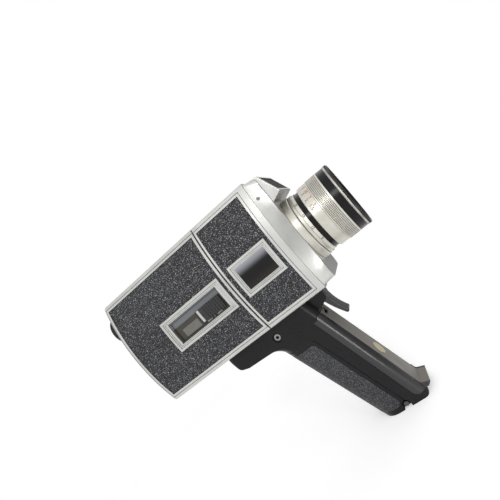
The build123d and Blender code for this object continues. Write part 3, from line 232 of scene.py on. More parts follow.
def pebble_grain():
    """Rounded pebbles with creases between them, some standing higher; masks of the creases and crests, which
    take painted shade and painted highlights.
    """
    tree, given, out = effect("Pebble grain", {"Size": MM, "Warp": 1.1},
                              ("Height", "Crease", "Crest", "Tone"))
    place = own_place(tree)
    per_metre = maths(tree, "DIVIDE", 1.0, given["Size"])
    swirl = add(tree, "ShaderNodeTexNoise", {"Vector": place, "Detail": 1.0,
                                             "Scale": maths(tree, "MULTIPLY", per_metre, 0.9)})
    shift = vectors(tree, "SUBTRACT", swirl.outputs["Color"], (0.5, 0.5, 0.5))
    shift = vectors(tree, "SCALE", shift, maths(tree, "MULTIPLY", given["Warp"], given["Size"]))
    bent = vectors(tree, "ADD", place, shift)
    cells = {"Vector": bent, "Scale": per_metre, "Randomness": 1.0}
    inward = add(tree, "ShaderNodeTexVoronoi", cells, feature="DISTANCE_TO_EDGE").outputs["Distance"]
    marks = add(tree, "ShaderNodeTexVoronoi", cells).outputs["Color"]
    rank = add(tree, "ShaderNodeSeparateColor", {0: marks}).outputs[0]
    raised = maths(tree, "MULTIPLY", remap(tree, inward, 0.0, 0.26),
                   remap(tree, rank, 0.0, 1.0, 0.55, 1.0, smooth=False))
    fine = maths(tree, "MULTIPLY", noise(tree, bent, maths(tree, "MULTIPLY", per_metre, 3.1), 2.0), 0.25)
    crest = maths(tree, "MULTIPLY", remap(tree, inward, 0.14, 0.3),
                  remap(tree, rank, 0.0, 0.9, 0.3, 1.0, smooth=False))
    return give(tree, out, height=maths(tree, "ADD", raised, fine), crest=crest,
                crease=remap(tree, inward, 0.0, 0.14, 1.0, 0.0),
                tone=remap(tree, noise(tree, place, 90.0, 2.0), 0.3, 0.7))


def fine_grain():
    """Fine even grain of a sprayed, moulded or blasted surface, with slow changes of tone."""
    tree, given, out = effect("Fine grain", {"Size": 0.2 * MM}, ("Height", "Tone"))
    place = own_place(tree)
    grains = maths(tree, "DIVIDE", 1.0, given["Size"])
    return give(tree, out, height=noise(tree, place, grains, 3.0, 0.6),
                tone=remap(tree, noise(tree, place, 55.0, 4.0, 0.55), 0.32, 0.68))


def edge_wear_and_highlight():
    """Mask of outer edges, broken up where handling spared them; it carries worn edges, and on the silvers a
    painted edge highlight.
    """
    tree, given, out = effect("Edge wear and highlight", {"Width": 0.3 * MM, "Amount": 0.6}, ("Mask",))
    rounded = add(tree, "ShaderNodeBevel", {"Radius": given["Width"]}, samples=4).outputs[0]
    plain = add(tree, "ShaderNodeNewGeometry").outputs["Normal"]
    edge = remap(tree, vectors(tree, "DOT_PRODUCT", rounded, plain), 0.995, 0.86)
    kept = remap(tree, noise(tree, own_place(tree), 260.0, 5.0, 0.65), 0.38, 0.66)
    kept = maths(tree, "MULTIPLY", kept, given["Amount"])
    return give(tree, out, mask=maths(tree, "MULTIPLY", edge, kept, clamp=True))


def crevice_shade():
    """Mask of painted shade: ambient occlusion finds seams, grooves and inner corners, where shade falls, so
    that they are painted darker.
    """
    tree, given, out = effect("Crevice shade", {"Reach": MM, "Amount": 0.8}, ("Mask",))
    shade = add(tree, "ShaderNodeAmbientOcclusion", {"Distance": given["Reach"]}, samples=6)
    gathered = remap(tree, shade.outputs["AO"], 0.55, 0.95, 1.0, 0.0)
    return give(tree, out, mask=maths(tree, "MULTIPLY", gathered, given["Amount"], clamp=True))


def dust():
    """Specks and smears that settle on handled surfaces."""
    tree, given, out = effect("Dust", {"Amount": 0.5}, ("Mask",))
    place = own_place(tree)
    specks = add(tree, "ShaderNodeTexVoronoi", {"Vector": place, "Scale": 620.0, "Randomness": 1.0})
    spots = remap(tree, specks.outputs["Distance"], 0.0, 0.11, 1.0, 0.0)
    chosen = remap(tree, noise(tree, place, 210.0, 2.0), 0.62, 0.7)
    film = remap(tree, noise(tree, place, 38.0, 6.0, 0.7), 0.54, 0.86, 0.0, 0.22)
    mask = maths(tree, "ADD", maths(tree, "MULTIPLY", spots, chosen), film)
    return give(tree, out, mask=maths(tree, "MULTIPLY", mask, given["Amount"], clamp=True))


def lathe_marks():
    """Fine rings that a cutting tool leaves round the optical axis."""
    tree, given, out = effect("Lathe marks", {"Pitch": 0.12 * MM}, ("Height", "Tone"))
    place = own_place(tree)
    parts = add(tree, "ShaderNodeSeparateXYZ", {0: place}).outputs
    flat = add(tree, "ShaderNodeCombineXYZ", {"X": maths(tree, "DIVIDE", parts["X"], given["Pitch"]),
                                              "Y": maths(tree, "MULTIPLY", parts["Y"], 40.0),
                                              "Z": maths(tree, "MULTIPLY", parts["Z"], 40.0)})
    return give(tree, out, height=noise(tree, flat.outputs[0], 1.0, 2.0),
                tone=remap(tree, noise(tree, place, 120.0, 3.0), 0.3, 0.7))


EFFECTS = {}


def build_effects():
    """The shared effects, made once."""
    for make in (pebble_grain, fine_grain, edge_wear_and_highlight, crevice_shade, dust, lathe_marks):
        EFFECTS[make.__name__] = make()


def use(tree, name, **values):
    """A shared effect placed in a material with its own values."""
    made = tree.nodes.new("ShaderNodeGroup")
    made.node_tree = EFFECTS[name]
    for label, value in values.items():
        made.inputs[label.capitalize()].default_value = value
    return made.outputs


MATERIALS = {}


def surface(name, **plain):
    """A new entry of MATERIALS: one Principled BSDF, with its plain values on its own sockets."""
    made = MATERIALS[name] = bpy.data.materials.new(name)
    made.use_nodes = True
    tree = made.node_tree
    shader = tree.nodes["Principled BSDF"]
    for label, value in plain.items():
        shader.inputs[label.replace("_", " ").title().replace("Ior", "IOR")].default_value = value
    return tree, shader.inputs


def coat(tree, sockets, colour, rough, height=None, depth=0.0):
    """Colour, roughness and relief of a surface; depth is the relief in metres."""
    tree.links.new(colour, sockets["Base Color"])
    tree.links.new(rough, sockets["Roughness"])
    if height is not None:
        bump = add(tree, "ShaderNodeBump", {"Height": height, "Distance": depth, "Strength": 1.0})
        tree.links.new(bump.outputs[0], sockets["Normal"])


# ------------------------------------------------------------------- materials
# Texture of a finish: its effect, the name of its size, and what sets the roughness over which span
GRAIN = ("fine_grain", "size", "Tone", (0, 1))
TURNING = ("lathe_marks", "pitch", "Height", (0.2, 0.8))
PEBBLES = ("pebble_grain", "size", "Crest", (0, 1))
TRAY_WALL = 0.3                 # share of the latch tray's height that its sloping wall takes


def layered(name, two_tones, fineness, rough, depth=0.0, texture=GRAIN, over=None, dirt=None,
            wear_and_highlight=None, seam=None, **plain):
    """Two tones of grain under dirt, worn edges that on the silvers also carry a painted edge highlight, and
    painted shade in seams.

    fineness is the size of the grain, and rough the roughness at its two ends. over(tree, texture's outputs,
    colour) may add to the colour before dirt (amount, colour, added roughness), wear_and_highlight (width,
    amount, colour: worn edges, and on the silvers a painted edge highlight) and seam (reach, amount, colour,
    added roughness: painted shade in seams and inner corners).
    """
    tree, sockets = surface(name, **plain)
    kind, size_name, driver, span = texture
    marks = use(tree, kind, **{size_name: fineness})
    colour = blended(tree, marks["Tone"], *two_tones)
    roughness = remap(tree, marks[driver], *span, *rough)
    if over:
        colour = over(tree, marks, colour)
    if dirt:
        mask = use(tree, "dust", amount=dirt[0])["Mask"]
        colour = blended(tree, mask, colour, dirt[1])
        roughness = maths(tree, "ADD", roughness, maths(tree, "MULTIPLY", mask, dirt[2]))
    # Worn edges; on the silvers their brighter colour is also a painted edge highlight
    if wear_and_highlight:
        mask = use(tree, "edge_wear_and_highlight", width=wear_and_highlight[0], amount=wear_and_highlight[1])["Mask"]
        colour = blended(tree, mask, colour, wear_and_highlight[2])
    # Painted shade: seams and inner corners darkened where ambient occlusion finds them
    if seam:
        mask = use(tree, "crevice_shade", reach=seam[0], amount=seam[1])["Mask"]
        colour = blended(tree, mask, colour, seam[2])
        roughness = maths(tree, "ADD", roughness, maths(tree, "MULTIPLY", mask, seam[3]))
    coat(tree, sockets, colour, roughness, marks["Height"] if depth else None, depth)


def build_metals(finish, size):
    """Castings, turned rings, the rubbed bead of the lens mouth, steel and brass."""
    # On both silvers the brighter worn-edge colour is partly worn metal and partly a painted edge highlight
    base = finish.silver
    layered("cast_silver", tones(base, 0.93, 1.03), 0.35 * MM, (0.27, 0.36), 0.006 * MM,
            dirt=(0.5, shaded(base, 0.7), 0.3), wear_and_highlight=(size.worn_edge, 1.0, shaded(base, 1.35)),
            # near-black colour: painted shade in seams and inner corners
            seam=(size.seam, 0.9, shaded(base, 0.08), 0.3), metallic=0.9)
    base = finish.turned
    layered("turned_silver", tones(base, 0.94, 1.02), 0.11 * MM, (0.32, 0.44), 0.01 * MM, TURNING,
            dirt=(0.5, shaded(base, 0.72), 0.0), wear_and_highlight=(size.worn_edge * 0.7, 0.9, shaded(base, 1.3)),
            # near-black colour: painted shade in seams and inner corners
            seam=(size.seam, 0.85, shaded(base, 0.1), 0.0), metallic=1.0)
    base = paint(178, 176, 170)
    layered("worn_rim", tones(base, 0.7, 1.15), 0.08 * MM, (0.3, 0.46), 0.01 * MM, TURNING,
            dirt=(1.0, shaded(base, 0.3), 0.0), metallic=0.9)
    for name, base in (("bright_steel", paint(158, 157, 154)), ("dull_steel", paint(92, 90, 88))):
        layered(name, tones(base, 0.85, 1.05), 0.15 * MM, (0.18, 0.32), 0.004 * MM,
                wear_and_highlight=(size.worn_edge * 0.5, 0.6, shaded(base, 1.3)), metallic=1.0)
    base = paint(178, 148, 84)
    layered("aged_brass", tones(base, 0.55, 1.0), 0.2 * MM, (0.25, 0.45), 0.004 * MM,
            wear_and_highlight=(size.worn_edge * 0.5, 0.8, shaded(base, 1.5)), metallic=1.0)


def build_leathers(finish, size):
    """Pebbled coverings of body and grip: painted shade in the creases and painted highlights on the smoother
    crests.
    """
    for name, fineness, depth, crest in (
            ("body_leather", size.pebble, 0.3 * MM, finish.crest),
            ("grip_leather", size.grip_grain, 0.16 * MM, shaded(finish.crest, 0.85))):
        # Crest colour is a painted highlight on the pebbles, crease colour painted shade between them
        def pebbles(tree, marks, field):
            field = blended(tree, marks["Crest"], field, crest)
            return blended(tree, marks["Crease"], field, finish.crease)
        layered(name, tones(finish.leather, 0.9, 1.1), fineness, (0.6, 0.36), depth, PEBBLES, pebbles,
                dirt=(0.35, paint(110, 106, 98), 0.2))


def build_mouldings(finish, size):
    """Black and grey mouldings, enamel and rubber, with paler handled edges, a little dust, and painted shade
    in seams and inner corners.
    """
    rows = {                    # colour, roughness, relief in mm, wear, gloss
        "satin_black": (finish.plastic, 0.3, 0.008, 0.5, 0.25),
        "polished_black": (shaded(finish.plastic, 0.6), 0.24, 0.003, 0.3, 0.75),
        "black_enamel": (finish.enamel, 0.18, 0.003, 0.35, 0.22),
        "mouth_grey": (paint(58, 54, 50), 0.35, 0.006, 0.8, 0.35),
        # painted shade on the slopes of the focus knurl's beads
        "groove_shade": (paint(160, 157, 148), 0.5, 0.006, 0.0, 0.35),
        "soft_rubber": (paint(30, 30, 31), 0.62, 0.03, 0.15, 0.35),
        "inner_black": (paint(22, 22, 22), 0.7, 0.02, 0.0, 0.35),
    }
    for name, (colour, rough, relief, wear_and_highlight, gloss) in rows.items():
        layered(name, tones(colour, 0.85, 1.12), 0.18 * MM, (rough - 0.04, rough + 0.05), relief * MM,
                dirt=(0.3, paint(84, 80, 74), 0.25), wear_and_highlight=(size.worn_edge, wear_and_highlight, paint(92, 91, 90)),
                # darker colour: painted shade in seams and inner corners
                seam=(size.seam, 0.7, shaded(colour, 0.2), 0.0), specular_ior_level=gloss)


def build_latch_tray(finish, size):
    """Painted tray of the latch; its sloping upper wall is painted paler, a painted highlight where the wall
    catches the light.
    """
    low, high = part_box("latch_tray")
    wall = high.z - (high.z - low.z) * TRAY_WALL

    def painted_wall_highlight(tree, marks, floor):
        # Painted highlight: the upper wall paler than the floor of the tray
        above = remap(tree, own_height(tree), wall - 0.5 * MM, wall + 0.3 * MM)
        return blended(tree, above, floor, finish.tray_wall_highlight)
    layered("tray_grey", tones(finish.tray, 0.9, 1.1), 0.25 * MM, (0.3, 0.4), 0.006 * MM, over=painted_wall_highlight,
            # darker colour: painted shade in seams and inner corners
            seam=(size.seam, 0.8, shaded(finish.tray, 0.2), 0.0), specular_ior_level=0.35)


def build_paints(finish, size):
    """Grey plate, yellowed button and film window, counter dial, jackets of the cells and inks."""
    base = finish.plate
    layered("plate_grey", tones(base, 0.9, 1.05), 0.22 * MM, (0.42, 0.55), 0.012 * MM,
            dirt=(0.6, shaded(base, 0.62), 0.0), wear_and_highlight=(size.worn_edge, 0.9, paint(205, 202, 196)),
            metallic=0.35)
    base = finish.cream
    layered("aged_cream", tones(base, 0.86, 1.0), 0.2 * MM, (0.32, 0.5), 0.008 * MM,
            dirt=(0.9, shaded(base, 0.5), 0.0), subsurface_weight=0.05)
    base = finish.pane
    layered("film_pane", tones(base, 0.9, 1.08), 0.5 * MM, (0.25, 0.35), 0.002 * MM,
            dirt=(0.5, shaded(base, 0.6), 0.0), coat_weight=0.3, coat_roughness=0.08)
    enamel = paint(214, 211, 202), paint(226, 224, 216)
    layered("white_dial", enamel, 0.2 * MM, (0.4, 0.5), 0.004 * MM)
    jacket = paint(72, 78, 88), paint(88, 94, 104)
    layered("cell_jacket", jacket, 0.3 * MM, (0.28, 0.4), 0.004 * MM,
            wear_and_highlight=(0.5 * MM, 1.0, paint(190, 188, 182)), metallic=0.6)
    inks = {"red_ink": finish.red_ink, "grey_ink": finish.grey_ink, "white_ink": paint(216, 214, 208),
            "black_ink": paint(24, 24, 26)}
    for name, base in inks.items():
        layered(name, tones(base, 0.85, 1.1), 0.12 * MM, (0.4, 0.6))


def build_badge_glass():
    """Black glazed plate with a painted reflection: pale along the top, fading to black."""
    tree, sockets = surface("smoked_glass", specular_ior_level=0.3)
    low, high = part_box("badge_glass")
    tall, height = high.z - low.z, own_height(tree)
    # Painted reflection: a pale band across the top fades to black by the middle; the plate is faintly brown
    # at the bottom
    lower = blended(tree, remap(tree, height, low.z, high.z - tall * 0.6), paint(38, 32, 28), paint(8, 7, 8))
    colour = blended(tree, remap(tree, height, high.z - tall * 0.4, high.z), lower, paint(160, 160, 168))
    dirt = use(tree, "dust", amount=0.25)["Mask"]
    coat(tree, sockets, blended(tree, dirt, colour, paint(110, 108, 104)),
         remap(tree, dirt, 0, 1, 0.12, 0.4), use(tree, "fine_grain", size=0.6 * MM)["Height"], 0.002 * MM)


def build_panes():
    """Deep black finder window, clear window over the film counter, and coated lenses."""
    tree, sockets = surface("dark_glass", specular_ior_level=0.0, coat_weight=0.15, coat_roughness=0.05)
    dirt = use(tree, "dust", amount=0.3)["Mask"]
    coat(tree, sockets, blended(tree, dirt, paint(10, 11, 13), paint(96, 95, 92)),
         remap(tree, dirt, 0, 1, 0.06, 0.35), use(tree, "fine_grain", size=0.8 * MM)["Height"], 0.001 * MM)

    tree, sockets = surface("clear_pane", transmission_weight=1.0, ior=1.45)
    grain = use(tree, "fine_grain", size=1.2 * MM)
    dirt = use(tree, "dust", amount=0.2)["Mask"]
    coat(tree, sockets, blended(tree, grain["Tone"], paint(238, 238, 234), paint(248, 248, 246)),
         remap(tree, dirt, 0, 1, 0.0, 0.2), grain["Height"], 0.0005 * MM)

    tree, sockets = surface("coated_glass", transmission_weight=1.0, ior=1.52, specular_ior_level=0.1,
                            coat_weight=0.12, coat_roughness=0.01)
    # Painted reflection: the glass turns purple towards grazing view, as a lens coating reflects
    grazing_reflection_tint = add(tree, "ShaderNodeLayerWeight", {"Blend": 0.35}).outputs["Facing"]
    dirt = use(tree, "dust", amount=0.15)["Mask"]
    coat(tree, sockets, blended(tree, grazing_reflection_tint, paint(236, 238, 244), paint(170, 160, 214)),
         remap(tree, dirt, 0, 1, 0.0, 0.25))


def build_materials(finish, size):
    """Every finish, from the colours and sizes of the panel."""
    for build in (build_metals, build_leathers, build_mouldings, build_latch_tray, build_paints):
        build(finish, size)
    build_badge_glass()
    build_panes()


def dress(finish, *nodes):
    """Gives CAD nodes a material."""
    for node in nodes:
        for slot in NODES[node].material_slots:
            slot.material = MATERIALS[finish]


# ------------------------------------------------------------- meshes of pieces
SHARP = math.radians(32)        # turned edges sharper than this stay crisp


def piece(name, solid, finish, body, smooth=False):
    """A new mesh piece, from (verts, faces), that rides on a body."""
    verts, faces = solid
    mesh = bpy.data.meshes.new(name)
    mesh.from_pydata([tuple(v) for v in verts], [], faces)
    mesh.materials.append(MATERIALS[finish])
    mesh.validate()
    mesh.update()
    mesh.polygons.foreach_set("use_smooth", [smooth] * len(mesh.polygons))
    made = bpy.data.objects.new(name, mesh)
    bpy.context.scene.collection.objects.link(made)
    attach(made, body)
    return made


def sweep(sections, closed=False):
    """(verts, faces) of a skin through like sections, with an end at each unless it closes.

    A section runs anticlockwise when the sections that follow it come towards the viewer.
    """
    count, verts = len(sections[0]), [point for section in sections for point in section]
    starts = range(0, len(verts) if closed else len(verts) - count, count)
    faces = [(a + k, a + (k + 1) % count, (a + count) % len(verts) + (k + 1) % count,
              (a + count) % len(verts) + k) for a in starts for k in range(count)]
    if not closed:
        faces += [tuple(range(count))[::-1], tuple(range(len(verts)))[-count:]]
    return verts, faces


def joined(solids):
    """Several (verts, faces) as one."""
    verts, faces = [], []
    for some_verts, some_faces in solids:
        base = len(verts)
        verts += some_verts
        faces += [tuple(i + base for i in face) for face in some_faces]
    return verts, faces


def lathe(name, profile, finish, body, steps=96, centre=None):
    """A clockwise outline of (x, radius) points turned about a line along X."""
    centre = centre or Vector((0, 0, AXIS_Z))
    angles = [-2 * math.pi * i / steps for i in range(steps)]
    sections = [[(x, centre.y + r * math.cos(angle), centre.z + r * math.sin(angle)) for x, r in profile]
                for angle in angles]
    made = piece(name, sweep(sections, closed=True), finish, body, smooth=True)
    made.data.set_sharp_from_angle(angle=SHARP)


def slab(outline, thickness):
    """A flat outline in the XY plane, with that thickness along Z."""
    return sweep([[Vector((u, v, w)) for u, v in outline] for w in (-thickness / 2, thickness / 2)])


def bar_outline(width, height):
    return [(u * width / 2, v * height / 2) for u, v in ((-1, -1), (1, -1), (1, 1), (-1, 1))]


def dot_outline(width, count=20):
    angles = [2 * math.pi * i / count for i in range(count)]
    return [(width / 2 * math.cos(angle), width / 2 * math.sin(angle)) for angle in angles]


CAPITAL = 0.7                   # share of its type size that a figure is high
FIGURE_WEIGHT = 0.03            # swelling of a figure's strokes, as a share of its height


def text_mesh(text, height, depth):
    """A line of figures in the XY plane, centred, depth along Z."""
    curve = bpy.data.curves.new("figures", "FONT")
    curve.body = text
    curve.size = height / CAPITAL
    curve.offset = height * FIGURE_WEIGHT
    curve.extrude = depth / 2
    curve.align_x = "CENTER"
    curve.align_y = "CENTER"
    curve.resolution_u = 3
    holder = bpy.data.objects.new("figures", curve)
    bpy.context.scene.collection.objects.link(holder)
    bpy.context.view_layer.update()
    mesh = bpy.data.meshes.new_from_object(holder.evaluated_get(bpy.context.evaluated_depsgraph_get()))
    verts = [v.co.copy() for v in mesh.vertices]
    faces = [tuple(p.vertices) for p in mesh.polygons]
    bpy.data.objects.remove(holder)
    bpy.data.meshes.remove(mesh)
    bpy.data.curves.remove(curve)
    return verts, faces


def wrapped(solid, x, angle, radius, taper=0.0):
    """A flat solid laid round a ring, its top towards the front of the lens."""
    verts, faces = solid
    return [on_ring(x + v.y, radius + v.z - taper * v.y, angle + v.x / radius) for v in verts], faces


def facing(solid, centre, right, up):
    """A flat solid at a centre, seen with those ways to its right and its top."""
    right, up = Vector(right).normalized(), Vector(up).normalized()
    out = right.cross(up)
    verts, faces = solid
    return [Vector(centre) + right * v.x + up * v.y + out * v.z for v in verts], faces


def surface_point(node, start, way):
    """Where a straight line meets a CAD node."""
    hit, place, _, _ = NODES[node].ray_cast(Vector(start), Vector(way))
    if not hit:
        raise RuntimeError(f"no surface of {node} there")
    return place


def on_dial(solid, centre, radius, angle):
    """A flat solid at a clockwise angle from the top of a dial that faces +Y, its top outward."""
    up = Vector((-math.sin(angle), 0, math.cos(angle)))
    return facing(solid, centre + up * radius, (-math.cos(angle), 0, -math.sin(angle)), up)


def thread(place, radius, depth, pitch, length, steps=48):
    """An internal thread; place(r, angle, along) gives its points."""
    profile = ((0.0, 0.0), (depth, 0.42), (0.0, 0.84))      # (height, share of the pitch)
    return sweep([[place(radius - high, 2 * math.pi * i / steps, pitch * (i / steps + share))
                   for high, share in profile] for i in range(int(length / pitch) * steps + 1)])


# ------------------------------------------------------------------- operators
class CinePiece:
    """Shared settings of the operators."""
    bl_options = {"REGISTER", "UNDO"}


class CINE_OT_finishes(CinePiece, bpy.types.Operator):
    """Build the shared effects and every finish"""
    bl_idname = "cine.finishes"
    bl_label = "Finishes"

    def execute(self, context):
        build_effects()
        build_materials(context.scene.cine_finishes, context.scene.cine_sizes)
        return {"FINISHED"}


class CINE_OT_castings(CinePiece, bpy.types.Operator):
    """Dress the body castings, their hinge and screws"""
    bl_idname = "cine.castings"
    bl_label = "Body castings"

    def execute(self, context):
        dress("cast_silver", "chassis", "front_housing", "front_panel", "left_cover", "film_door",
              "left_plates", "badge_frame", "latch_frame")
        dress("bright_steel", "housing_screws", "door_pin", "door_pad")
        return {"FINISHED"}


class CINE_OT_coverings(CinePiece, bpy.types.Operator):
    """Dress the leatherette coverings"""
    bl_idname = "cine.coverings"
    bl_label = "Coverings"

    def execute(self, context):
        dress("body_leather", "door_leather", "front_leather", "left_leather")
        dress("grip_leather", "grip_leather")
        return {"FINISHED"}


class CINE_OT_windows(CinePiece, bpy.types.Operator):
    """Dress the badge, finder, counter and film windows"""
    bl_idname = "cine.windows"
    bl_label = "Windows"

    def execute(self, context):
        dress("smoked_glass", "badge_glass")
        dress("dark_glass", "hood_window")
        dress("clear_pane", "counter_window")
        dress("film_pane", "film_window")
        return {"FINISHED"}


LATCH_MARK_Z = 129.6 * MM
LATCH_MARKS = ((-64.7 * MM, bar_outline(4.4 * MM, 0.9 * MM)), (-60.2 * MM, dot_outline(0.9 * MM)),
               (-55.3 * MM, bar_outline(4.6 * MM, 0.9 * MM)))                # (x, outline)
OUTSIDE = 60 * MM               # far enough out to look at a surface from


class CINE_OT_latch(CinePiece, bpy.types.Operator):
    """Dress the door latch and fill its marks: a bar, a dot and a bar"""
    bl_idname = "cine.latch"
    bl_label = "Door latch"

    def execute(self, context):
        dress("tray_grey", "latch_tray")
        dress("polished_black", "latch_slider")
        dress("cast_silver", "latch_bar")
        ink = context.scene.cine_sizes.ink
        marks = []
        for x, outline in LATCH_MARKS:
            place = surface_point("latch_tray", (x, -OUTSIDE, LATCH_MARK_Z), (0, 1, 0))
            place.y -= ink / 2
            marks.append(facing(slab(outline, 3 * ink), place, (1, 0, 0), (0, 0, 1)))
        piece("latch_marks", joined(marks), "white_ink", "door")
        return {"FINISHED"}


class CINE_OT_lens(CinePiece, bpy.types.Operator):
    """Dress the lens barrel and its glass"""
    bl_idname = "cine.lens"
    bl_label = "Lens"

    def execute(self, context):
        dress("turned_silver", "lens_flange", "zoom_ring", "focus_ring")
        dress("black_enamel", "index_ring", "front_cell")
        dress("inner_black", "lens_tube", "zoom_carriage")
        dress("aged_brass", "focus_screws")
        dress("coated_glass", "front_lens", "zoom_glass", "rear_lens")
        return {"FINISHED"}


SCALE_ZONE = 7.7 * MM           # plain scale zone of the focus ring
KNURL_INSET = (1.0 * MM, 1.5 * MM)      # behind and in front of the knurl
KNURL_SEAT = 0.25 * MM          # groove of the focus ring that carries the knurl
KNURL_SLOPE = 0.13              # share of a bead that each of its slopes takes
BEAD_SLOPES = 4


class CINE_OT_knurl(CinePiece, bpy.types.Operator):
    """Cut the square knurl into the focus ring"""
    bl_idname = "cine.knurl"
    bl_label = "Focus knurl"

    def execute(self, context):
        size = context.scene.cine_sizes
        back, front, radius = ring("focus_ring")
        x0, x1 = back + SCALE_ZONE + KNURL_INSET[0], front - KNURL_INSET[1]
        seat = radius - KNURL_SEAT
        around = round(2 * math.pi * seat / size.knurl_pitch)
        along = round((x1 - x0) / size.knurl_pitch)
        step_x, step_a = (x1 - x0) / along, 2 * math.pi / around

        def corners(i, j, inset, reach):
            near, far = inset, 1 - inset
            return [on_ring(x0 + (j + u) * step_x, reach, (i + v) * step_a)
                    for v, u in ((near, near), (far, near), (far, far), (near, far))]
        beads = [sweep([corners(i, j, 0.0, seat), corners(i, j, KNURL_SLOPE, seat + size.knurl_height)])
                 for j in range(along) for i in range(around)]
        for _, faces in beads:
            del faces[BEAD_SLOPES]              # the base, which the ring hides
        knurl = piece("focus_knurl", joined(beads), "turned_silver", "focus_grip")
        # The slopes of each bead take the painted groove shade; the tops keep the turned silver
        knurl.data.materials.append(MATERIALS["groove_shade"])
        for i, polygon in enumerate(knurl.data.polygons):
            polygon.material_index = int(i % (BEAD_SLOPES + 1) < BEAD_SLOPES)
        return {"FINISHED"}


RED_FIGURES = ("5", "7", "10", "15", "25", "50")
GREY_FIGURES = ("1.5", "2", "3", "5", "8", "15")
FIGURE_ROWS = (                 # (piece, figures, x from the back of the ring, ink)
    ("red_figures", RED_FIGURES, 5.6 * MM, "red_ink"),
    ("grey_figures", GREY_FIGURES, 2.9 * MM, "grey_ink"))
FIGURE_STEP, FIGURE_LAG = math.radians(15), math.radians(3)
SCALE_DROP = 0.45 * MM          # scale zone below the top of the focus ring
TICK = (1.2 * MM, 1.0 * MM)     # distance ticks: middle from the back of the ring, and length
ZOOM_FIGURES = ("25", "18", "12", "8")
ZOOM_START, ZOOM_STEP = math.radians(138.2), math.radians(24)
ZOOM_BAND = (1.2 * MM, 0.69 * MM, 0.17)     # sloping band: behind the front edge, below the top, slope
INDEX_DOT = 1.0 * MM


class CINE_OT_scales(CinePiece, bpy.types.Operator):
    """Engrave and fill the distance scale, focal lengths and index of the lens"""
    bl_idname = "cine.scales"
    bl_label = "Lens scales"

    def execute(self, context):
        size = context.scene.cine_sizes
        self.distance_scale(size)
        self.zoom_scale(size)
        self.index_mark(size)
        return {"FINISHED"}

    def distance_scale(self, size):
        """Two rows of figures, and ticks, on the plain zone of the focus ring."""
        back, _, radius = ring("focus_ring")
        radius -= SCALE_DROP
        for name, figures, x, ink in FIGURE_ROWS:
            row = [wrapped(text_mesh(figure, size.figure, 2 * size.ink), back + x,
                           INDEX_ANGLE - FIGURE_LAG - i * FIGURE_STEP, radius)
                   for i, figure in enumerate(figures)]
            piece(name, joined(row), ink, "focus_grip")
        place, length = TICK
        tick = slab(bar_outline(size.mark_width, length), 2 * size.ink)
        ticks = [wrapped(tick, back + place, INDEX_ANGLE - i * FIGURE_STEP, radius)
                 for i in range(len(RED_FIGURES))]
        piece("distance_ticks", joined(ticks), "grey_ink", "focus_grip")

    def zoom_scale(self, size):
        """Focal lengths on the sloping back of the zoom ring."""
        _, front, radius = ring("zoom_ring")
        inset, drop, taper = ZOOM_BAND
        row = [wrapped(text_mesh(figure, size.figure * 0.8, 2 * size.ink), front - inset,
                       ZOOM_START + i * ZOOM_STEP, radius - drop, taper)
               for i, figure in enumerate(ZOOM_FIGURES)]
        piece("zoom_figures", joined(row), "grey_ink", "zoom_grip")

    def index_mark(self, size):
        """Round mark on the fixed ring that both scales are read against."""
        back, front, radius = ring("index_ring")
        dot = slab(dot_outline(INDEX_DOT, 24), 2 * size.ink)
        mark = wrapped(dot, (back + front) / 2, INDEX_ANGLE, radius)
        piece("index_mark", mark, "black_ink", "camera")


MOUTH_THREAD = (4.1 * MM, 23.0 * MM, 0.3 * MM, 3.6 * MM)    # start behind the front, radius, depth, length
MOUTH_BEAD = (3.4 * MM, 1.3 * MM)       # start behind the front edge, width
BEAD_SHAPE = ((0.0, -0.4), (0.0, 0.08), (0.2, 0.2))         # half outline of the bead, in mm
MOUTH_RIDGES = 200
RIDGE_SHAPE = ((-0.5, -0.2 * MM), (0.0, 0.14 * MM), (0.5, -0.2 * MM))     # (share of the pitch, height)
RIDGE_END = 0.65 * MM           # ridges end behind the front edge


class CINE_OT_filter_thread(CinePiece, bpy.types.Operator):
    """Cut the filter thread into the mouth of the lens and turn its bright bead"""
    bl_idname = "cine.filter_thread"
    bl_label = "Filter thread"

    def execute(self, context):
        _, front, radius = ring("front_cell")
        inset, major, depth, length = MOUTH_THREAD
        turns = thread(lambda r, angle, along: on_ring(front - inset + along, r, angle), major, depth,
                       context.scene.cine_sizes.filter_pitch, length)
        piece("filter_thread", turns, "black_enamel", "front_group")
        back_end = front - MOUTH_BEAD[0]
        front_end = back_end + MOUTH_BEAD[1]
        bead = [(back_end + u * MM, radius + v * MM) for u, v in BEAD_SHAPE]
        bead += [(front_end - u * MM, radius + v * MM) for u, v in reversed(BEAD_SHAPE)]
        lathe("mouth_bead", bead, "worn_rim", "front_group")
        self.grip_ridges(front_end, front - RIDGE_END, radius)
        return {"FINISHED"}

    def grip_ridges(self, x0, x1, radius):
        """Fine lengthwise ridges in front of the bead."""
        ridges = [sweep([[on_ring(x, radius + lift, 2 * math.pi * (i + share) / MOUTH_RIDGES)
                          for share, lift in RIDGE_SHAPE] for x in (x0, x1)]) for i in range(MOUTH_RIDGES)]
        piece("mouth_ridges", joined(ridges), "mouth_grey", "front_group")


TRIPOD_THREAD = (0.3 * MM, 3.175 * MM, 0.55 * MM, 6.8 * MM)     # above the base, major radius, depth, length


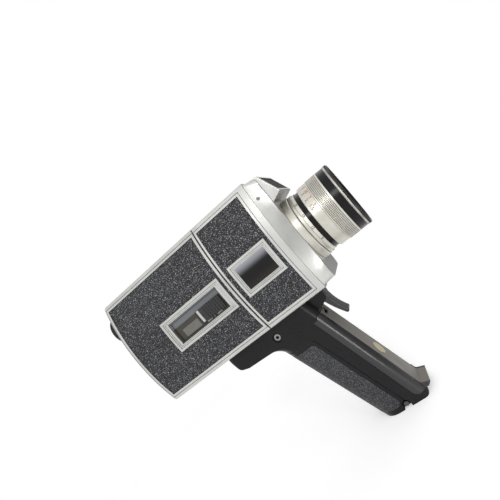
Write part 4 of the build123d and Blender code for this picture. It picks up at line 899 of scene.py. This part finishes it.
class CINE_OT_grip(CinePiece, bpy.types.Operator):
    """Dress the grip, battery cover, trigger and fittings, and cut the tripod thread"""
    bl_idname = "cine.grip"
    bl_label = "Grip"

    def execute(self, context):
        dress("satin_black", "grip_shell", "grip_pad")
        dress("polished_black", "battery_cover", "trigger")
        dress("plate_grey", "cover_plate")
        dress("aged_cream", "catch_button")
        dress("bright_steel", "grip_pins", "jack_socket", "tripod_bush")
        dress("dull_steel", "strap_pin")
        dress("cell_jacket", "aa_cells")
        dress("aged_brass", "battery_contacts")
        inset, major, depth, length = TRIPOD_THREAD
        start = middle("tripod_bush")
        start.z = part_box("tripod_bush")[0].z + inset

        def place(r, angle, along):
            return start + Vector((r * math.cos(angle), r * math.sin(angle), along))
        turns = thread(place, major, depth, context.scene.cine_sizes.tripod_pitch, length, 32)
        piece("tripod_thread", turns, "bright_steel", "camera")
        return {"FINISHED"}


COUNTER_FIGURES = ("0", "10", "20", "30", "40", "50")
COUNTER_ROWS = (0.68, 0.84, 0.96)       # shares of the dial's radius: figures, and the two ends of the lines
EXPOSURE_STEPS = 16
EXPOSURE_ROWS = (0.7, 0.78, 0.84)       # shares of the dial's radius: ends and middle of the lines
EYECUP_RIBS = 4
RIB_SHAPE = ((-0.5, -0.3), (-0.4, 0.1), (0.0, 0.28), (0.4, 0.1), (0.5, -0.3))       # (x, radius), in mm
PLUG_HOLE = 0.7 * MM
PLUG_CHAMFER = 0.3 * MM
PLUG_GAP = (0.15 * MM, 0.1 * MM)        # below the wall's face, and round the plug


class CINE_OT_controls(CinePiece, bpy.types.Operator):
    """Dress the dials, switches and eyepiece of the far side and back"""
    bl_idname = "cine.controls"
    bl_label = "Controls"

    def execute(self, context):
        dress("white_dial", "counter_dial")
        dress("black_enamel", "exposure_dial")
        dress("polished_black", "zoom_rocker", "speed_switch")
        dress("bright_steel", "check_button")
        dress("satin_black", "diopter_ring", "eyepiece_mount")
        dress("soft_rubber", "eyecup")
        dress("coated_glass", "eye_lens")
        size = context.scene.cine_sizes
        self.counter_marks(size)
        self.exposure_marks(size)
        self.eyecup_ribs()
        self.finder_plug()
        return {"FINISHED"}

    def counter_marks(self, size):
        """Figures and lines of the film counter, in feet."""
        low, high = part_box("counter_dial")
        centre = middle("counter_dial")
        centre.y = high.y
        row, inner, outer = ((high.x - low.x) / 2 * share for share in COUNTER_ROWS)
        count = len(COUNTER_FIGURES)
        step = 2 * math.pi / count
        figures = [on_dial(text_mesh(text, size.figure, 2 * size.ink), centre, row, step * i)
                   for i, text in enumerate(COUNTER_FIGURES)]
        piece("counter_figures", joined(figures), "black_ink", "counter")
        tick = slab(bar_outline(size.mark_width, outer - inner), 2 * size.ink)
        ticks = [on_dial(tick, centre, (inner + outer) / 2, step * i / 5) for i in range(5 * count)]
        piece("counter_ticks", joined(ticks), "black_ink", "counter")

    def exposure_marks(self, size):
        """Lines round the exposure dial, with a gap at its top."""
        low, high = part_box("exposure_dial")
        centre = middle("exposure_dial")
        inner, row, outer = ((high.x - low.x) / 2 * share for share in EXPOSURE_ROWS)
        face = surface_point("exposure_dial", (centre.x + row, high.y + OUTSIDE, centre.z), (0, -1, 0))
        centre.y = face.y
        tick = slab(bar_outline(size.mark_width, outer - inner), 2 * size.ink)
        ticks = [on_dial(tick, centre, (inner + outer) / 2, 2 * math.pi * i / EXPOSURE_STEPS)
                 for i in range(1, EXPOSURE_STEPS)]
        piece("exposure_ticks", joined(ticks), "white_ink", "exposure")

    def eyecup_ribs(self):
        """Soft ribs moulded round the eyecup."""
        low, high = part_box("eyecup")
        centre = middle("eyecup")
        for i in range(EYECUP_RIBS):
            x = low.x + (high.x - low.x) * (i + 1.0) / (EYECUP_RIBS + 1.2)
            edge = surface_point("eyecup", (x, centre.y - OUTSIDE, centre.z), (0, 1, 0))
            radius = centre.y - edge.y
            rib = [(x + u * MM, radius + v * MM) for u, v in RIB_SHAPE]
            lathe(f"eyecup_rib_{i}", rib, "soft_rubber", "dioptre", 48, centre)

    def finder_plug(self):
        """Drilled blanking plug in the rear wall, behind the finder tube."""
        low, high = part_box("finder_tube")
        radius = (high.z - low.z) / 2 - PLUG_GAP[1]
        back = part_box("chassis")[0].x + PLUG_GAP[0]
        plug = [(back, PLUG_HOLE), (back, radius - PLUG_CHAMFER), (back + PLUG_CHAMFER, radius),
                (low.x, radius), (low.x, PLUG_HOLE)]
        lathe("finder_plug", plug, "cast_silver", "camera", 64, middle("finder_tube"))


class CINE_OT_works(CinePiece, bpy.types.Operator):
    """Dress the film gate, shutter, motor and drive"""
    bl_idname = "cine.works"
    bl_label = "Works"

    def execute(self, context):
        dress("inner_black", "shutter", "finder_tube")
        dress("bright_steel", "film_gate", "claw", "motor")
        dress("satin_black", "takeup_drive")
        return {"FINISHED"}


# ----------------------------------------------------------------------- stage
CAMERA_AT = Vector((66.84, -287.49, 137.25)) * MM
CAMERA_FORWARD = Vector((-0.2877, 0.9568, 0.0429))
CAMERA_UP = Vector((0.6177, 0.1512, 0.7717))
CAMERA_LENS = 29.37             # mm on a 36 mm sensor
FLOOR_EDGE = (0.26, 0.62)       # radii between which the floor fades away
FLOOR_GLOW = 0.42
ROOM_BRIGHT = (-0.35, -0.60, 0.72)      # where the room is whitest to metal
ROOM_SPAN = (-0.75, 0.8)        # from the greyest to the whitest of the room, along that way
ROOM_LOW = 0.3
AMBIENT = 0.55
LAMPS = {                       # (direction from the object, distance, width, height, watts)
    "key_lamp": ((0.62, -0.50, 0.78), 1.10, 1.2, 1.2, 1.4),
    "window_lamp": ((0.045, -0.86, 0.515), 1.10, 0.24, 0.24, 1.5),
    "strip_lamp": ((0.60, -0.79, 0.06), 1.10, 0.17, 0.95, 4.0),
    "back_lamp": ((0.2, 0.9, 0.7), 1.20, 1.1, 1.1, 1.6),
}


def studio_floor():
    """Level pale floor that keeps the shadow, fades into the room and hides nothing from beneath."""
    bpy.ops.mesh.primitive_circle_add(vertices=96, radius=FLOOR_EDGE[1], fill_type="NGON", location=(0, 0, 0))
    floor = bpy.context.object
    floor.name = "studio_floor"
    tree, _ = surface("floor_white", base_color=rgba(paint(236, 236, 236)), roughness=0.9)
    path = add(tree, "ShaderNodeLightPath").outputs
    seen = maths(tree, "MAXIMUM", path["Is Glossy Ray"], path["Is Transmission Ray"])
    seen = maths(tree, "MAXIMUM", path["Is Camera Ray"], seen)
    strength = maths(tree, "MULTIPLY", seen, FLOOR_GLOW)
    glow = add(tree, "ShaderNodeEmission", {"Color": (1, 1, 1, 1), "Strength": strength}).outputs[0]
    painted = tree.nodes["Principled BSDF"].outputs[0]
    lit = add(tree, "ShaderNodeAddShader", {0: painted, 1: glow}).outputs[0]
    clear = add(tree, "ShaderNodeBsdfTransparent").outputs[0]
    away = add(tree, "ShaderNodeVectorMath", {0: own_place(tree)}, operation="LENGTH").outputs["Value"]
    below = add(tree, "ShaderNodeNewGeometry").outputs["Backfacing"]
    gone = maths(tree, "MAXIMUM", remap(tree, away, *FLOOR_EDGE), below)
    faded = add(tree, "ShaderNodeMixShader", {0: gone, 1: lit, 2: clear}).outputs[0]
    tree.links.new(faded, tree.nodes["Material Output"].inputs["Surface"])
    floor.data.materials.append(MATERIALS["floor_white"])


def studio_world():
    """White room to the eye; metal sees it whitest over the near side and greyer low down and beyond."""
    world = bpy.data.worlds.new("studio_world")
    bpy.context.scene.world = world
    world.use_nodes = True
    tree = world.node_tree
    path = add(tree, "ShaderNodeLightPath").outputs
    seen = maths(tree, "MAXIMUM", path["Is Camera Ray"], path["Is Transmission Ray"])
    way = add(tree, "ShaderNodeTexCoord").outputs["Generated"]
    lift = vectors(tree, "DOT_PRODUCT", way, Vector(ROOM_BRIGHT).normalized())
    room = remap(tree, lift, *ROOM_SPAN, ROOM_LOW, 1.0)
    plain = add(tree, "ShaderNodeMix", {0: path["Is Glossy Ray"], 2: AMBIENT, 3: room}, data_type="FLOAT")
    strength = add(tree, "ShaderNodeMix", {0: seen, 2: plain.outputs[0], 3: 1.0}, data_type="FLOAT")
    back = tree.nodes["Background"]
    back.inputs["Color"].default_value = (1, 1, 1, 1)
    tree.links.new(strength.outputs[0], back.inputs["Strength"])


def studio_camera():
    """Camera tipped to see the level object lying askew."""
    data = bpy.data.cameras.new("camera")
    data.lens = CAMERA_LENS
    data.sensor_width = 36.0
    data.clip_start = 0.01
    shot = bpy.data.objects.new("camera", data)
    bpy.context.scene.collection.objects.link(shot)
    back = -CAMERA_FORWARD.normalized()
    right = CAMERA_UP.cross(back).normalized()
    axes = Matrix((right, back.cross(right), back)).transposed()
    shot.matrix_world = Matrix.Translation(CAMERA_AT) @ axes.to_4x4()
    bpy.context.scene.camera = shot


def studio_lamps():
    """Soft lamps that face the middle of the object."""
    centre = (CAD_BOX[0] + CAD_BOX[1]) / 2
    for name, (direction, distance, width, height, watts) in LAMPS.items():
        data = bpy.data.lights.new(name, "AREA")
        data.shape = "RECTANGLE"
        data.size = width
        data.size_y = height
        data.energy = watts
        lamp = bpy.data.objects.new(name, data)
        bpy.context.scene.collection.objects.link(lamp)
        out = Vector(direction).normalized()
        lamp.location = centre + out * distance
        lamp.rotation_euler = out.to_track_quat("Z", "Y").to_euler()


class CINE_OT_studio(CinePiece, bpy.types.Operator):
    """Set the floor, world, lamps and camera"""
    bl_idname = "cine.studio"
    bl_label = "Studio"

    def execute(self, context):
        studio_floor()
        studio_world()
        studio_lamps()
        studio_camera()
        context.scene.view_settings.view_transform = "Standard"
        return {"FINISHED"}


# ----------------------------------------------------------------- add-on parts
OPERATORS = (CINE_OT_finishes, CINE_OT_castings, CINE_OT_coverings, CINE_OT_windows, CINE_OT_latch,
             CINE_OT_lens, CINE_OT_knurl, CINE_OT_scales, CINE_OT_filter_thread, CINE_OT_grip,
             CINE_OT_controls, CINE_OT_works, CINE_OT_studio)


class CINE_PT_panel(bpy.types.Panel):
    """Lists the steps and the settings of the camera"""
    bl_idname = "CINE_PT_panel"
    bl_label = "Cine camera"
    bl_space_type = "VIEW_3D"
    bl_region_type = "UI"
    bl_category = "Cine camera"

    def draw(self, context):
        layout = self.layout
        for settings in (context.scene.cine_sizes, context.scene.cine_finishes):
            box = layout.box()
            for name in settings.__annotations__:
                box.prop(settings, name)
        for operator in OPERATORS:
            layout.operator(operator.bl_idname)


CLASSES = (CineFinishes, CineSizes, *OPERATORS, CINE_PT_panel)


def register():
    for kind in CLASSES:
        bpy.utils.register_class(kind)
    bpy.types.Scene.cine_finishes = PointerProperty(type=CineFinishes)
    bpy.types.Scene.cine_sizes = PointerProperty(type=CineSizes)


def unregister():
    del bpy.types.Scene.cine_sizes
    del bpy.types.Scene.cine_finishes
    for kind in reversed(CLASSES):
        bpy.utils.unregister_class(kind)


def main():
    register()
    for operator in OPERATORS:
        group, name = operator.bl_idname.split(".")
        getattr(getattr(bpy.ops, group), name)()


if __name__ == "__main__":
    main()
